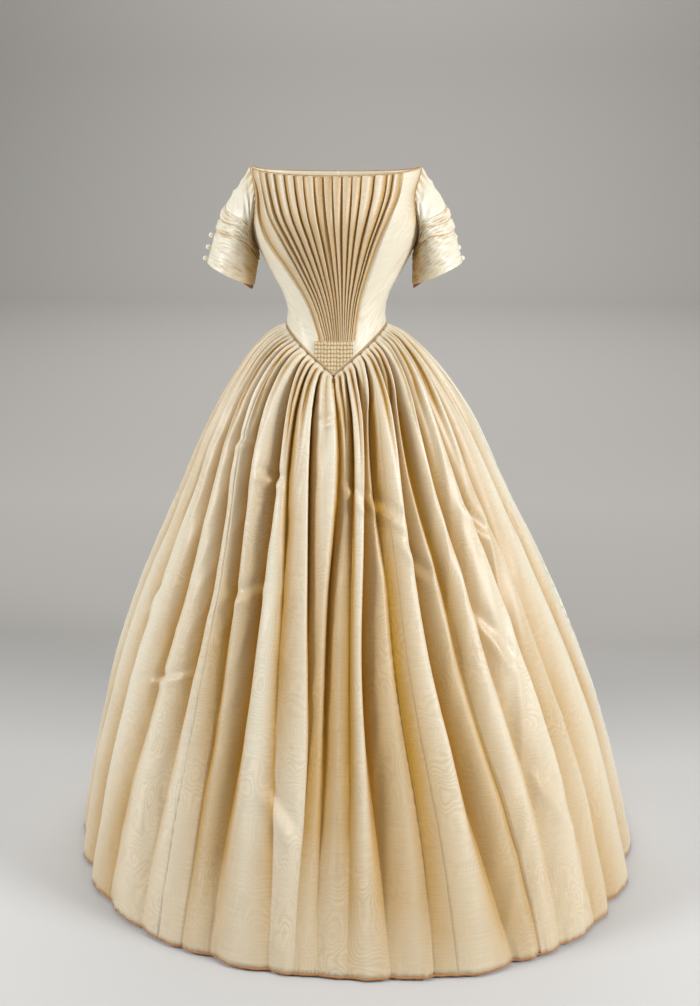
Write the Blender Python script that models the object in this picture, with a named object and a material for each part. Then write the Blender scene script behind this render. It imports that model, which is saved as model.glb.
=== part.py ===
"""Silk wedding dress of the 1840s, worn shape, hollow, in metres with +Z up.

The origin is the centre of the waist, where the wearer holds the dress up. The front faces -Y and
the wearer's left is +X. Every piece of cloth is a thin wall, and pieces stop short of each other
at the seams.
"""

import math

import bpy
import numpy as np
from mathutils import Vector

# Cloth and sewing
WALL = 0.0012
SEAM_GAP = 0.0004
SKIRT_SEAM_GAP = 0.0011
PIPING_RADIUS = 0.0011
PIPING_POINTS = 61
PIPING_OPENING_ANGLE = 0.006
SEAM_LIFT = 0.0032
PIPING_DROP = 0.0023
REST_GAP = 0.0003
SHARP_FOLD_DEGREES = 35

# Waist seam, which dips to a point at the front and a little at the back
FRONT_POINT_DROP = 0.073
BACK_POINT_DROP = 0.012

# Skirt, from the waist seam down. Run is measured along the side, from 0 at the waist to 1 at the hem.
SKIRT_SECTIONS = {
    "drop": (0.000, 0.010, 0.030, 0.075, 0.150, 0.300, 0.500, 0.750, 1.021),
    "half_width": (0.0873, 0.112, 0.138, 0.179, 0.228, 0.298, 0.392, 0.483, 0.549),
    "side_y": (0.000, 0.002, 0.005, 0.012, 0.028, 0.055, 0.085, 0.118, 0.145),
    "front_y": (-0.1053, -0.1190, -0.131, -0.149, -0.173, -0.219, -0.282, -0.354, -0.425),
    "back_y": (0.0703, 0.106, 0.147, 0.206, 0.279, 0.386, 0.506, 0.618, 0.712),
    "lean_x": (0.000, 0.000, 0.000, 0.002, 0.005, 0.008, 0.011, 0.021, 0.027),
    "roundness": (1.00, 1.00, 1.00, 1.00, 1.00, 0.98, 0.95, 0.91, 0.89),
    "forward_lean": (0.00, 0.00, 0.00, 0.00, 0.00, 0.00, 0.02, 0.04, 0.05),
}
POINT_FADE = 4
SKIRT_RINGS = (0.0, 0.014, 0.034, 0.065, 0.106, 0.184, 0.32, 0.52, 0.75, 1.0)

# Skirt folds: each row is a valley, at its angle from the front in degrees and its depth in
# millimetres, at the hip, the knee, low on the skirt and the hem
FOLD_COLUMNS = (
    "hip_angle", "knee_angle", "hem_angle", "hip_depth", "knee_depth", "low_depth", "hem_depth",
)
FRONT_FOLDS = (
    (-90, -90, -90, 14, 14, 12, 10),
    (-79, -76, -76, 16, 14, 12, 16),
    (-70, -63, -65, 18, 16, 14, 22),
    (-60, -49, -52, 22, 22, 9, 8),
    (-50, -38, -40, 18, 16, 14, 12),
    (-40, -30, -29, 16, 26, 12, 12),
    (-27, -22, -22, 24, 28, 26, 18),
    (-20, -13.5, -11, 12, 8, 16, 16),
    (-10, -6, -6, 16, 26, 5, 12),
    (2, -1, -3, 12, 30, 30, 16),
    (8, 3.5, 1, 16, 8, 14, 14),
    (16, 8, 7, 14, 30, 30, 22),
    (21, 15, 14, 14, 9, 15, 14),
    (32, 24, 30, 14, 28, 30, 18),
    (38, 32, 36, 14, 18, 5, 6),
    (46, 40, 42, 16, 10, 12, 12),
    (56, 52, 53, 16, 12, 10, 9),
    (66, 60, 62, 14, 12, 12, 14),
    (80, 76, 77, 14, 13, 12, 16),
)

# Folds that the photograph's side hides, in degrees and millimetres: middle value, swing from
# fold to fold, beat of the swing and where the beat starts
BACK_FOLD_WAVES = {
    "knee_angle": (0, 2.5, 2.1, 0.0),
    "hem_angle": (0, 3.0, 1.7, 1.0),
    "hip_depth": (16, 3, 2.3, 0.0),
    "knee_depth": (18, 9, 2.9, 0.0),
    "low_depth": (17, 9, 2.9, 0.6),
    "hem_depth": (13, 5, 2.9, 1.0),
}
BACK_FOLD_COUNT = 17
FIRST_FOLD = -9
FOLD_COUNT = len(FRONT_FOLDS) + BACK_FOLD_COUNT
FOLD_STEP = 360 / FOLD_COUNT
ANGLE_RUNS = (0.0, 0.12, 0.45, 1.0)
DEPTH_RUNS = (0.0, 0.025, 0.052, 0.12, 0.42, 0.78, 1.0)
WAIST_VALLEYS_MM = (3.5, 6.0, 9.0)
# How much of a valley's depth reaches each quarter of the way to the next valley
FOLD_PROFILE = {0.0: 1.0, 0.25: 0.12, 0.5: 0.0, 0.75: 0.0}

# Skirt widths, each between two seams, in places along the folds
SKIRT_WIDTHS = (
    ("skirt_front", -4.5, 3.25),
    ("skirt_left_side", 3.25, 9.5),
    ("skirt_left_back", 9.5, 15.5),
    ("skirt_middle_back", 15.5, 20.5),
    ("skirt_right_back", 20.5, 25.5),
    ("skirt_right_side", 25.5, 31.5),
)
FOLD_PARTS = 4
HEM_BRAID_HEIGHT = 0.004
HEM_BRAID_DROP = 0.0008

# Bodice, from the waist seam (rise 0) to the neckline (rise 1)
BODICE_SECTIONS = {
    "rise": (0.00, 0.10, 0.20, 0.35, 0.50, 0.65, 0.75, 0.88, 1.00),
    "half_width": (0.0860, 0.0845, 0.0925, 0.114, 0.134, 0.1445, 0.1440, 0.1415, 0.1437),
    "front_y": (-0.1040, -0.0965, -0.0905, -0.0925, -0.105, -0.122, -0.129, -0.122, -0.110),
    "back_y": (0.069, 0.066, 0.067, 0.076, 0.087, 0.095, 0.098, 0.096, 0.090),
    "side_angle": (90, 90, 90, 90, 87, 74, 69, 71, 87),
    "right_pleat": (-21, -21.5, -24, -39, -54, -64, -65, -67, -76),
    "left_pleat": (24, 24.5, 26, 31, 36, 39, 41, 50, 64),
}
SIDE_SEAM_DEGREES = 90
NECK_SIDE_HEIGHT = 0.267
NECK_FRONT_DIP = 0.012
NECK_BACK_DIP = 0.016
NECK_DIP_SHAPE = 0.7
BODICE_ROWS = (0.0, 0.10, 0.19, 0.32, 0.47, 0.58, 0.69, 0.80, 0.90, 1.0)
ARMHOLE_ROWS = BODICE_ROWS[4:]
ARMHOLE_GAP = 0.0008
FAN_PLEATS = 20
PLEAT_RISES = (0.0, 0.30, 0.50, 0.75, 0.90, 1.0)
PLEAT_DEPTHS = (0.0008, 0.0024, 0.0042, 0.0052, 0.0040, 0.0024)
SIDE_SHARES = (0.0, 0.10, 0.35, 0.65)
BACK_SHARES = (0.0, 0.06, 0.20, 0.36, 0.52, 0.68, 0.84, 0.95, 1.0)

# Shirred point, laid on the bodice front over the foot of the fan pleats
POINT_ANGLE = 22
POINT_TOP_HEIGHT = -0.012
POINT_FOOT_RISE = 0.006
POINT_PUCKERS_ACROSS = 11
POINT_PUCKERS_DOWN = 8
POINT_WALL = 0.0010
POINT_REST = 0.0009
PUCKER_HEIGHT = 0.0008
PLEAT_FADE_HEIGHT = 0.020

# Sleeves, short and set low on the shoulder, with a tucked band
SLEEVE_SPOKES = 20
SLEEVE_HEM = {
    "right": {"outer": (-0.221, -0.004, 0.105), "inner": (-0.140, -0.012, 0.068)},
    "left": {"outer": (0.215, -0.004, 0.107), "inner": (0.130, -0.012, 0.071)},
}
SLEEVE_HEM_DEPTH = 0.050
SLEEVE_PUFF = 0.012
SLEEVE_PUFF_TOWARDS = (0.6, 0.0, 0.8)
SLEEVE_PUFF_SHAPE = 0.8
SLEEVE_TILT = 2.2
UPPER_SLEEVE_STEPS = (0.0, 0.12, 0.24, 0.36, 0.455)
BAND_STEPS = (0.462, 0.555, 0.563, 0.665, 0.673, 0.84, 1.0)
BAND_LIFTS = (0.0022, 0.0034, 0.0012, 0.0030, 0.0008, 0.0006, 0.0002)
FACING_STEPS = (0.90, 1.03)
FACING_WALL = 0.0010
FACING_INSET = 0.0024
BUTTON_RADIUS = 0.0045
BUTTON_STEPS = (0.75, 0.865, 0.98)
BUTTON_TURN = {"right": 0, "left": 22}

# Colours as (red, green, blue, roughness)
SILK = (0.72, 0.58, 0.36, 0.42)
SHIRRED_SILK = (0.66, 0.51, 0.30, 0.48)
PIPING_SILK = (0.42, 0.30, 0.15, 0.55)
BRAID = (0.27, 0.13, 0.04, 0.80)
FACING_COTTON = (0.17, 0.06, 0.02, 0.85)


def clear_scene():
    for obj in list(bpy.data.objects):
        bpy.data.objects.remove(obj, do_unlink=True)


def smooth_curve(places, values, at):
    """Values at the given places, on a smooth curve through the rows of a table."""
    places = np.asarray(places, float)
    values = np.asarray(values, float)
    at = np.clip(np.asarray(at, float), places[0], places[-1])
    slopes = np.gradient(values, places)
    row = np.clip(np.searchsorted(places, at, "right") - 1, 0, len(places) - 2)
    span = places[row + 1] - places[row]
    f = (at - places[row]) / span
    start = (1 + 2 * f) * (1 - f) ** 2 * values[row] + f * (1 - f) ** 2 * span * slopes[row]
    end = f * f * (3 - 2 * f) * values[row + 1] + f * f * (f - 1) * span * slopes[row + 1]
    return start + end


def straight_curve(places, values, at):
    return np.interp(at, places, values)


def rounded_section(angle, half_width, side_y, front_y, back_y, roundness):
    """A point of a level section: two half ovals that meet at the sides."""
    side, front = np.sin(angle), np.cos(angle)
    x = half_width * np.sign(side) * np.abs(side) ** roundness
    reach = np.abs(front) ** roundness
    y = np.where(front >= 0, side_y + (front_y - side_y) * reach, side_y + (back_y - side_y) * reach)
    return x, y


def waist_dip(angle):
    """How far the waist seam dips below the waist at an angle from the front."""
    deepest = np.where(np.cos(angle) >= 0, FRONT_POINT_DROP, BACK_POINT_DROP)
    return deepest * (1 - np.abs(np.sin(angle)))


def section_runs():
    """Where each skirt section lies along the side of the skirt, from 0 to 1."""
    steps = np.hypot(np.diff(SKIRT_SECTIONS["drop"]), np.diff(SKIRT_SECTIONS["half_width"]))
    length = np.concatenate([[0.0], np.cumsum(steps)])
    return length / length[-1]


SECTION_RUNS = section_runs()


def skirt_form(run, angle):
    """A point of the skirt without its folds."""
    run, angle = np.broadcast_arrays(np.asarray(run, float), np.asarray(angle, float))
    size = {name: smooth_curve(SECTION_RUNS, column, run) for name, column in SKIRT_SECTIONS.items()}
    x, y = rounded_section(
        angle, size["half_width"], size["side_y"], size["front_y"], size["back_y"], size["roundness"]
    )
    z = -size["drop"] - waist_dip(angle) * (1 - run) ** POINT_FADE
    return np.stack([x + size["lean_x"], y - size["forward_lean"] * x, z], axis=-1)


def outward(form, first, second, step=1e-4):
    """Unit normals of a surface form(first, second), which point away from the Z axis."""
    across = form(first, second + step) - form(first, second - step)
    along = form(np.minimum(first + step, 1), second) - form(np.maximum(first - step, 0), second)
    normal = np.cross(across, along)
    away = (normal[..., :2] * form(first, second)[..., :2]).sum(axis=-1, keepdims=True)
    return normal * np.sign(away) / np.linalg.norm(normal, axis=-1, keepdims=True)


def fold_table():
    """Every valley of the skirt, the hidden ones at the back shaped like those at the front."""
    rows = [dict(zip(FOLD_COLUMNS, row)) for row in FRONT_FOLDS]
    for step in range(1, BACK_FOLD_COUNT + 1):
        hip_angle = 90 + step * 180 / (BACK_FOLD_COUNT + 1)
        fold = {
            name: middle + swing * math.sin(beat * step + start)
            for name, (middle, swing, beat, start) in BACK_FOLD_WAVES.items()
        }
        fold["knee_angle"] += hip_angle
        fold["hem_angle"] += hip_angle
        rows.append({"hip_angle": hip_angle, **fold})
    return rows


FOLDS = fold_table()


def valley(number, run):
    """Angle in radians and depth in metres of a valley, which may be numbered past a full turn."""
    turns, row = divmod(number - FIRST_FOLD, FOLD_COUNT)
    fold = FOLDS[row]
    waist_angle = (row + FIRST_FOLD) * FOLD_STEP
    angles = (waist_angle, fold["hip_angle"], fold["knee_angle"], fold["hem_angle"])
    depths = WAIST_VALLEYS_MM + (
        fold["hip_depth"], fold["knee_depth"], fold["low_depth"], fold["hem_depth"]
    )
    angle = smooth_curve(ANGLE_RUNS, angles, run) + 360 * turns
    return np.radians(angle), straight_curve(DEPTH_RUNS, depths, run) / 1000


def fold_direction(run, angle):
    """Which way a crown faces: square to the cloth at the waist, and level at the hem."""
    away = outward(skirt_form, run, angle)
    away[..., 2] *= 1 - run
    return away / np.linalg.norm(away, axis=-1, keepdims=True)


def skirt_column(place, run):
    """Points down one column of the skirt. A whole place is a valley, a half is a fold's crown."""
    number = math.floor(place)
    share = place - number
    left, left_depth = valley(number, run)
    right, right_depth = valley(number + 1, run)
    angle = left + (right - left) * share
    depth = left_depth * FOLD_PROFILE[share] + right_depth * FOLD_PROFILE[(1 - share) % 1] * (share > 0)
    return skirt_form(run, angle) - fold_direction(run, angle) * depth[..., None]


def pull_apart(grid, gap=SEAM_GAP):
    """Draws the first and last columns of a panel back by half a gap."""
    for edge, inner in ((0, 1), (-1, -2)):
        inward = grid[:, inner] - grid[:, edge]
        inward /= np.linalg.norm(inward, axis=-1, keepdims=True)
        grid[:, edge] += inward * gap / 2
    return grid


def neck_height(angle):
    dip = np.where(np.cos(angle) >= 0, NECK_FRONT_DIP, NECK_BACK_DIP)
    return NECK_SIDE_HEIGHT - dip * np.abs(np.cos(angle)) ** NECK_DIP_SHAPE


def bodice_size(name, rise):
    return smooth_curve(BODICE_SECTIONS["rise"], BODICE_SECTIONS[name], rise)


def side_edge(rise):
    """Angle in degrees of the side seam, and above it of the armhole's edge."""
    return np.minimum(bodice_size("side_angle", rise), SIDE_SEAM_DEGREES)


def bodice_form(rise, angle):
    """A point of the bodice without its pleats."""
    rise, angle = np.broadcast_arrays(np.asarray(rise, float), np.asarray(angle, float))
    x, y = rounded_section(
        angle, bodice_size("half_width", rise), 0.0,
        bodice_size("front_y", rise), bodice_size("back_y", rise), 1.0,
    )
    z = (1 - rise) * -waist_dip(angle) + rise * neck_height(angle)
    return np.stack([x, y, z + SEAM_LIFT * (1 - rise)], axis=-1)


def point_top_rise(angle):
    """The rise at which the straight top edge of the shirred point crosses an angle."""
    foot = -waist_dip(angle)
    return (POINT_TOP_HEIGHT - foot) / (neck_height(angle) - foot)


def quads_of(rows, columns, closed):
    """Faces of a grid of points, wrapping round where the grid is closed."""
    last = columns if closed else columns - 1
    return [
        (r * columns + c, r * columns + (c + 1) % columns,
         (r + 1) * columns + (c + 1) % columns, (r + 1) * columns + c)
        for r in range(rows - 1) for c in range(last)
    ]


def material(name, finish):
    """A plain shader with the finish's colour and roughness."""
    made = bpy.data.materials.get(name) or bpy.data.materials.new(name)
    made.use_nodes = True
    shader = made.node_tree.nodes["Principled BSDF"]
    shader.inputs["Base Color"].default_value = (*finish[:3], 1.0)
    shader.inputs["Roughness"].default_value = finish[3]
    made.diffuse_color = (*finish[:3], 1.0)
    return made


def mesh_object(name, points, faces, finish):
    mesh = bpy.data.meshes.new(name)
    mesh.from_pydata([tuple(p) for p in points], [], faces)
    mesh.validate()
    mesh.shade_smooth()
    mesh.set_sharp_from_angle(angle=math.radians(SHARP_FOLD_DEGREES))
    mesh.materials.append(material(f"{name}_finish", finish))
    obj = bpy.data.objects.new(name, mesh)
    bpy.context.scene.collection.objects.link(obj)
    return obj


def cloth_panel(name, grid, finish, closed=False, wall=WALL):
    """A wall of cloth: the grid is its outer face, and the thickness goes inwards."""
    rows, columns = grid.shape[:2]
    faces = quads_of(rows, columns, closed)
    obj = mesh_object(name, grid.reshape(-1, 3), faces, finish)
    solid = obj.modifiers.new("Wall", "SOLIDIFY")
    solid.thickness = wall
    solid.offset = -1
    solid.use_even_offset = True
    solid.use_quality_normals = True
    return obj


def cord(name, points, finish, radius):
    """A round piping cord along the points."""
    path = bpy.data.curves.new(name, "CURVE")
    path.dimensions = "3D"
    path.bevel_depth = radius
    path.bevel_resolution = 0
    path.use_fill_caps = True
    spline = path.splines.new("POLY")
    spline.points.add(len(points) - 1)
    for spot, point in zip(spline.points, points):
        spot.co = (*point, 1.0)
    obj = bpy.data.objects.new(name, path)
    bpy.context.scene.collection.objects.link(obj)
    path.materials.append(material(f"{name}_finish", finish))
    return obj


def build_skirt():
    """The six widths of the skirt, pleated into the waist seam, and the braid under the hem."""
    runs = np.array(SKIRT_RINGS)
    for name, start, end in SKIRT_WIDTHS:
        count = round((end - start) * FOLD_PARTS)
        places = [start + step / FOLD_PARTS for step in range(count + 1)]
        grid = np.stack([skirt_column(place, runs) for place in places], axis=1)
        cloth_panel(name, pull_apart(grid, SKIRT_SEAM_GAP)[::-1], SILK)
    hem = np.array([1.0])
    places = [FIRST_FOLD + step / FOLD_PARTS for step in range(FOLD_COUNT * FOLD_PARTS)]
    edge = np.stack([skirt_column(place, hem)[0] for place in places])
    top = edge - (0, 0, HEM_BRAID_DROP)
    braid = np.stack([top - (0, 0, HEM_BRAID_HEIGHT), top])
    cloth_panel("hem_braid", braid, BRAID, closed=True)


def front_angles(rise):
    """Angles of the bodice front's columns at each rise, right side to left side."""
    side = side_edge(rise)
    first, last = bodice_size("right_pleat", rise), bodice_size("left_pleat", rise)
    right = [-side + (first + side) * share for share in SIDE_SHARES]
    fan = [first + (last - first) * step / (2 * FAN_PLEATS) for step in range(2 * FAN_PLEATS + 1)]
    left = [side + (last - side) * share for share in reversed(SIDE_SHARES)]
    return np.radians(np.stack(right + fan + left, axis=-1))


def build_bodice_front():
    """The front, whose fan pleats run from the neckline down to the shirred point."""
    rise = np.array(BODICE_ROWS)
    angle = front_angles(rise)
    column_rise = np.broadcast_to(rise[:, None], angle.shape)
    grid = bodice_form(column_rise, angle)
    normal = outward(bodice_form, column_rise, angle)
    above = (grid[..., 2] - POINT_TOP_HEIGHT) / PLEAT_FADE_HEIGHT
    depth = straight_curve(PLEAT_RISES, PLEAT_DEPTHS, column_rise) * np.clip(above, 0, 1)
    step = np.arange(angle.shape[1]) - len(SIDE_SHARES)
    is_valley = (step >= 0) & (step <= 2 * FAN_PLEATS) & (step % 2 == 0)
    grid = grid - normal * (depth * is_valley)[..., None]
    cloth_panel("bodice_front", pull_apart(grid), SILK)


def build_bodice_backs():
    """Two backs that meet at the centre back, where they hook together inside."""
    rise = np.array(BODICE_ROWS)
    side = 180 - side_edge(rise)
    for name, turn in (("bodice_back_left", 1), ("bodice_back_right", -1)):
        angle = np.radians(np.stack([side + (180 - side) * share for share in BACK_SHARES], axis=-1))
        grid = bodice_form(np.broadcast_to(rise[:, None], angle.shape), turn * angle)
        if turn < 0:
            grid = grid[:, ::-1]
        cloth_panel(name, pull_apart(grid), SILK)


def build_shirred_point():
    """The shirred shield: raised puckers in rows over a plain inside."""
    across, down = 2 * POINT_PUCKERS_ACROSS + 1, 2 * POINT_PUCKERS_DOWN + 1
    angle = np.radians(np.linspace(-POINT_ANGLE, POINT_ANGLE, across))[None, :]
    share = np.linspace(0, 1, down)[:, None]
    rise = POINT_FOOT_RISE + share * (point_top_rise(angle) - POINT_FOOT_RISE)
    angle = np.broadcast_to(angle, rise.shape)
    base = bodice_form(rise, angle)
    normal = outward(bodice_form, rise, angle)
    row, column = np.indices(rise.shape)
    raised = PUCKER_HEIGHT * (row % 2) * (column % 2)
    outer = base + normal * (POINT_REST + POINT_WALL + raised)[..., None]
    inner = base + normal * POINT_REST
    points = np.concatenate([outer.reshape(-1, 3), inner.reshape(-1, 3)])
    total = across * down
    faces = quads_of(down, across, closed=False)
    faces += [tuple(total + corner for corner in reversed(face)) for face in faces]
    rim = [c for c in range(across)]
    rim += [r * across + across - 1 for r in range(1, down)]
    rim += [(down - 1) * across + c for c in range(across - 2, -1, -1)]
    rim += [r * across for r in range(down - 2, 0, -1)]
    for corner, following in zip(rim, rim[1:] + rim[:1]):
        faces.append((following, corner, total + corner, total + following))
    mesh_object("shirred_point", points, faces, SHIRRED_SILK)


def armhole(turn):
    """The armhole's edge as a ring of points: up the front, over the shoulder and down the back."""
    rise = np.array(ARMHOLE_ROWS)
    side = np.radians(side_edge(rise))
    front, back = bodice_form(rise, turn * side), bodice_form(rise, turn * (math.pi - side))
    rows = np.arange(len(rise))
    between = np.linspace(0, rows[-1], SLEEVE_SPOKES // 2 + 1)
    up = np.stack([np.interp(between, rows, front[:, axis]) for axis in range(3)], axis=-1)
    down = np.stack([np.interp(between, rows, back[:, axis]) for axis in range(3)], axis=-1)
    ring = np.concatenate([up, down[::-1][1:-1]])
    return ring + np.array([turn * ARMHOLE_GAP, 0, 0])


def sleeve_hem_ring(side):
    """The sleeve's lower edge: an oval that starts at the inside of the arm and runs by the front."""
    outer, inner = (np.array(SLEEVE_HEM[side][end]) for end in ("outer", "inner"))
    centre, reach = (outer + inner) / 2, (inner - outer) / 2
    turn = np.linspace(0, 2 * math.pi, SLEEVE_SPOKES, endpoint=False)[:, None]
    return centre + reach * np.cos(turn) + np.array([0, -SLEEVE_HEM_DEPTH, 0]) * np.sin(turn)


def sleeve_ring(side, step, lift=0.0):
    """A ring round the sleeve, from the armhole (0) to the hem (1), lifted off the sleeve's form.

    The rings are crowded towards the armhole under the arm, so that they cross the sleeve level.
    """
    turn = 1 if side == "left" else -1
    under = (1 + np.cos(np.linspace(0, 2 * math.pi, SLEEVE_SPOKES, endpoint=False))) / 2
    share = (step ** (1 + SLEEVE_TILT * under))[:, None]
    ring = armhole(turn) * (1 - share) + sleeve_hem_ring(side) * share
    middle = ring.mean(axis=0)
    spoke = ring - middle
    spoke /= np.linalg.norm(spoke, axis=-1, keepdims=True)
    facing_up = np.clip(spoke @ (np.array(SLEEVE_PUFF_TOWARDS) * (turn, 1, 1)), 0, 1)
    puff = SLEEVE_PUFF * math.sin(math.pi * min(step, 1) ** SLEEVE_PUFF_SHAPE) * facing_up
    return ring + spoke * (puff + lift)[:, None]


def sleeve_wall(name, side, steps, lifts, finish, wall):
    """A stretch of sleeve through rings at the given steps."""
    grid = np.stack([sleeve_ring(side, step, lift) for step, lift in zip(steps, lifts)])
    if side == "left":
        grid = grid[:, ::-1]
    cloth_panel(name, grid, finish, closed=True, wall=wall)


def build_sleeve(side):
    """The upper sleeve, its tucked band, the facing that shows inside the hem, and three buttons."""
    flat = (0.0,) * len(UPPER_SLEEVE_STEPS)
    sleeve_wall(f"sleeve_upper_{side}", side, UPPER_SLEEVE_STEPS, flat, SILK, WALL)
    sleeve_wall(f"sleeve_band_{side}", side, BAND_STEPS, BAND_LIFTS, SILK, WALL)
    inset = (-FACING_INSET, -FACING_INSET)
    sleeve_wall(f"sleeve_facing_{side}", side, FACING_STEPS, inset, FACING_COTTON, FACING_WALL)
    spoke = SLEEVE_SPOKES / 2 + BUTTON_TURN[side] * SLEEVE_SPOKES / 360
    for number, step in enumerate(BUTTON_STEPS, start=1):
        lift = straight_curve(BAND_STEPS, BAND_LIFTS, step)
        ring = sleeve_ring(side, step, lift + BUTTON_RADIUS + REST_GAP)
        before, share = int(spoke), spoke - int(spoke)
        spot = ring[before] * (1 - share) + ring[(before + 1) % SLEEVE_SPOKES] * share
        build_button(f"sleeve_button_{side}_{number}", spot)


def build_button(name, spot):
    """A small round button covered with silk."""
    bpy.ops.mesh.primitive_ico_sphere_add(subdivisions=2, radius=BUTTON_RADIUS, location=Vector(spot))
    ball = bpy.context.object
    ball.name = name
    ball.data.name = name
    ball.data.shade_smooth()
    ball.data.materials.append(material("button_finish", SILK))


def build_pipings():
    """The cords along the neckline and the waist seam, both open at the centre back."""
    back = math.pi - PIPING_OPENING_ANGLE
    angle = np.linspace(-back, back, PIPING_POINTS)
    neck = bodice_form(np.ones_like(angle), angle)
    inwards = outward(bodice_form, np.ones_like(angle) - 0.001, angle) * WALL / 2
    rise = np.array([0, 0, PIPING_RADIUS + REST_GAP])
    cord("neck_piping", neck - inwards + rise, PIPING_SILK, PIPING_RADIUS)
    waist = bodice_form(np.zeros_like(angle), angle)
    waist -= np.array([0, 0, PIPING_DROP])
    cord("waist_piping", waist, PIPING_SILK, PIPING_RADIUS)


def build_dress():
    clear_scene()
    build_skirt()
    build_bodice_front()
    build_bodice_backs()
    build_shirred_point()
    build_pipings()
    for side in ("right", "left"):
        build_sleeve(side)


build_dress()
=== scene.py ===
"""Ivory watered-silk wedding dress of the 1840s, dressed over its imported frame.

Lengths are in metres. The origin is the centre of the waist, +Z is up, the front faces -Y and the
wearer's left is +X.
"""

import logging
import math
from collections.abc import Callable
from dataclasses import dataclass
from enum import Enum

import bpy
import numpy as np
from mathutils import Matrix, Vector


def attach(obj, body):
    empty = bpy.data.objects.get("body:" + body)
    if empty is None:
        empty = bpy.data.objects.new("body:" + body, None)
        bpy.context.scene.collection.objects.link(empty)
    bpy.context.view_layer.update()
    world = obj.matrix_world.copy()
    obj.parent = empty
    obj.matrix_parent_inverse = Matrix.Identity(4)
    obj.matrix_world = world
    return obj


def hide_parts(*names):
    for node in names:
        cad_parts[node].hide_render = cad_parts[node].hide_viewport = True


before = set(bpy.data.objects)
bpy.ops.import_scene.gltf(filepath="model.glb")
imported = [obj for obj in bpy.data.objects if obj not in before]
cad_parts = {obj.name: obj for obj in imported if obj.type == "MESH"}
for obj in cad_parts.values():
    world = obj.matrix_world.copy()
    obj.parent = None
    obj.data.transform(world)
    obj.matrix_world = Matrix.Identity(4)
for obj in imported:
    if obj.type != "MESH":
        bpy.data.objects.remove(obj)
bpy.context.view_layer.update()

log = logging.getLogger("dress")
Array = np.ndarray
Form = Callable[[Array, Array], Array]
Colour = tuple[float, float, float]
Place = tuple[float, float, float]

# Metres
CLOTH_WALL = 0.0009
SEAM_GAP = 0.0002
FLOOR_HEIGHT = -1.03
# Folds of the skirt: degrees from one to the next, and the number of the one at the right side
FOLD_STEP = 10
FIRST_FOLD = -9


class Side(Enum):
    """A side of the wearer, with the sign of X there."""

    RIGHT = -1
    LEFT = 1

    @property
    def word(self) -> str:
        """The side's name as nodes spell it."""
        return self.name.lower()


class Held(Enum):
    GATHERED = "gathered"
    FOLDED = "folded"
    STRETCHED = "stretched"


def smooth_curve(places: Array, values: Array, at: Array) -> Array:
    """Values on a smooth curve through the rows of a table.

    Args:
        places: Rising positions of the rows.
        values: Value of each row.
        at: Positions to read, kept inside the table.

    Returns:
        A value for each position.
    """
    places, values = np.asarray(places, float), np.asarray(values, float)
    at = np.clip(np.asarray(at, float), places[0], places[-1])
    slopes = np.gradient(values, places)
    row = np.clip(np.searchsorted(places, at, "right") - 1, 0, len(places) - 2)
    span = places[row + 1] - places[row]
    f = (at - places[row]) / span
    start = (1 + 2 * f) * (1 - f) ** 2 * values[row] + f * (1 - f) ** 2 * span * slopes[row]
    end = f * f * (3 - 2 * f) * values[row + 1] + f * f * (f - 1) * span * slopes[row + 1]
    return start + end


def oval_section(angle: Array, half_width: Array, side_y: Array, front_y: Array, back_y: Array,
                 roundness: Array) -> tuple[Array, Array]:
    """Level section of two half ovals that meet at the sides.

    Args:
        angle: Angle from the front, in radians.
        half_width: Reach along X.
        side_y: Y of the sides.
        front_y: Y of the front.
        back_y: Y of the back.
        roundness: Power of the oval, 1 for an ellipse and less for a boxier one.

    Returns:
        X and Y.
    """
    side, front = np.sin(angle), np.cos(angle)
    x = half_width * np.sign(side) * np.abs(side) ** roundness
    reach = np.abs(front) ** roundness
    y = np.where(front >= 0, side_y + (front_y - side_y) * reach, side_y + (back_y - side_y) * reach)
    return x, y


def outward(form: Form, first: Array, second: Array, step: float = 1e-4) -> Array:
    """Unit normals of a surface form(first, second), which point away from the Z axis.

    Args:
        form: The surface.
        first: Its parameter from top to bottom or bottom to top, from 0 to 1.
        second: Its angle round the body.
        step: Half the span of the differences.

    Returns:
        One unit vector for each point.
    """
    across = form(first, second + step) - form(first, second - step)
    along = form(np.minimum(first + step, 1), second) - form(np.maximum(first - step, 0), second)
    normal = np.cross(across, along)
    away = (normal[..., :2] * form(first, second)[..., :2]).sum(axis=-1, keepdims=True)
    return normal * np.sign(away) / np.linalg.norm(normal, axis=-1, keepdims=True)


def pace_round(form: Form, first: Array, angle: Array, step: float = 1e-4) -> Array:
    """Metres that a radian covers on a surface form(first, angle), at each point."""
    span = form(first, angle + step) - form(first, angle - step)
    return np.linalg.norm(span, axis=-1) / (2 * step)


def drawn_in(points: Array) -> Array:
    """Draws a panel's first and last columns back by half a seam gap, in place.

    Args:
        points: The panel's points, in rows and columns.

    Returns:
        The same points.
    """
    for edge, inner in ((0, 1), (-1, -2)):
        inward = points[:, inner] - points[:, edge]
        inward /= np.linalg.norm(inward, axis=-1, keepdims=True)
        points[:, edge] += inward * SEAM_GAP / 2
    return points


def waves(x: Array, y: Array, seed: int, count: int = 7) -> Array:
    """Smooth uneven field of about -1 to 1, made of sine waves.

    Args:
        x: First coordinate, in wave lengths.
        y: Second coordinate, in wave lengths.
        seed: Which field.
        count: How many waves.

    Returns:
        The field at each place.
    """
    rng = np.random.default_rng(seed)
    total = np.zeros(np.broadcast(x, y).shape)
    for turn, phase, pace in zip(rng.uniform(0, math.pi, count), rng.uniform(0, math.tau, count),
                                 rng.uniform(0.6, 1.6, count)):
        total += np.sin(math.tau * pace * (np.cos(turn) * x + np.sin(turn) * y) + phase)
    return total / math.sqrt(count * 2)


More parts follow.
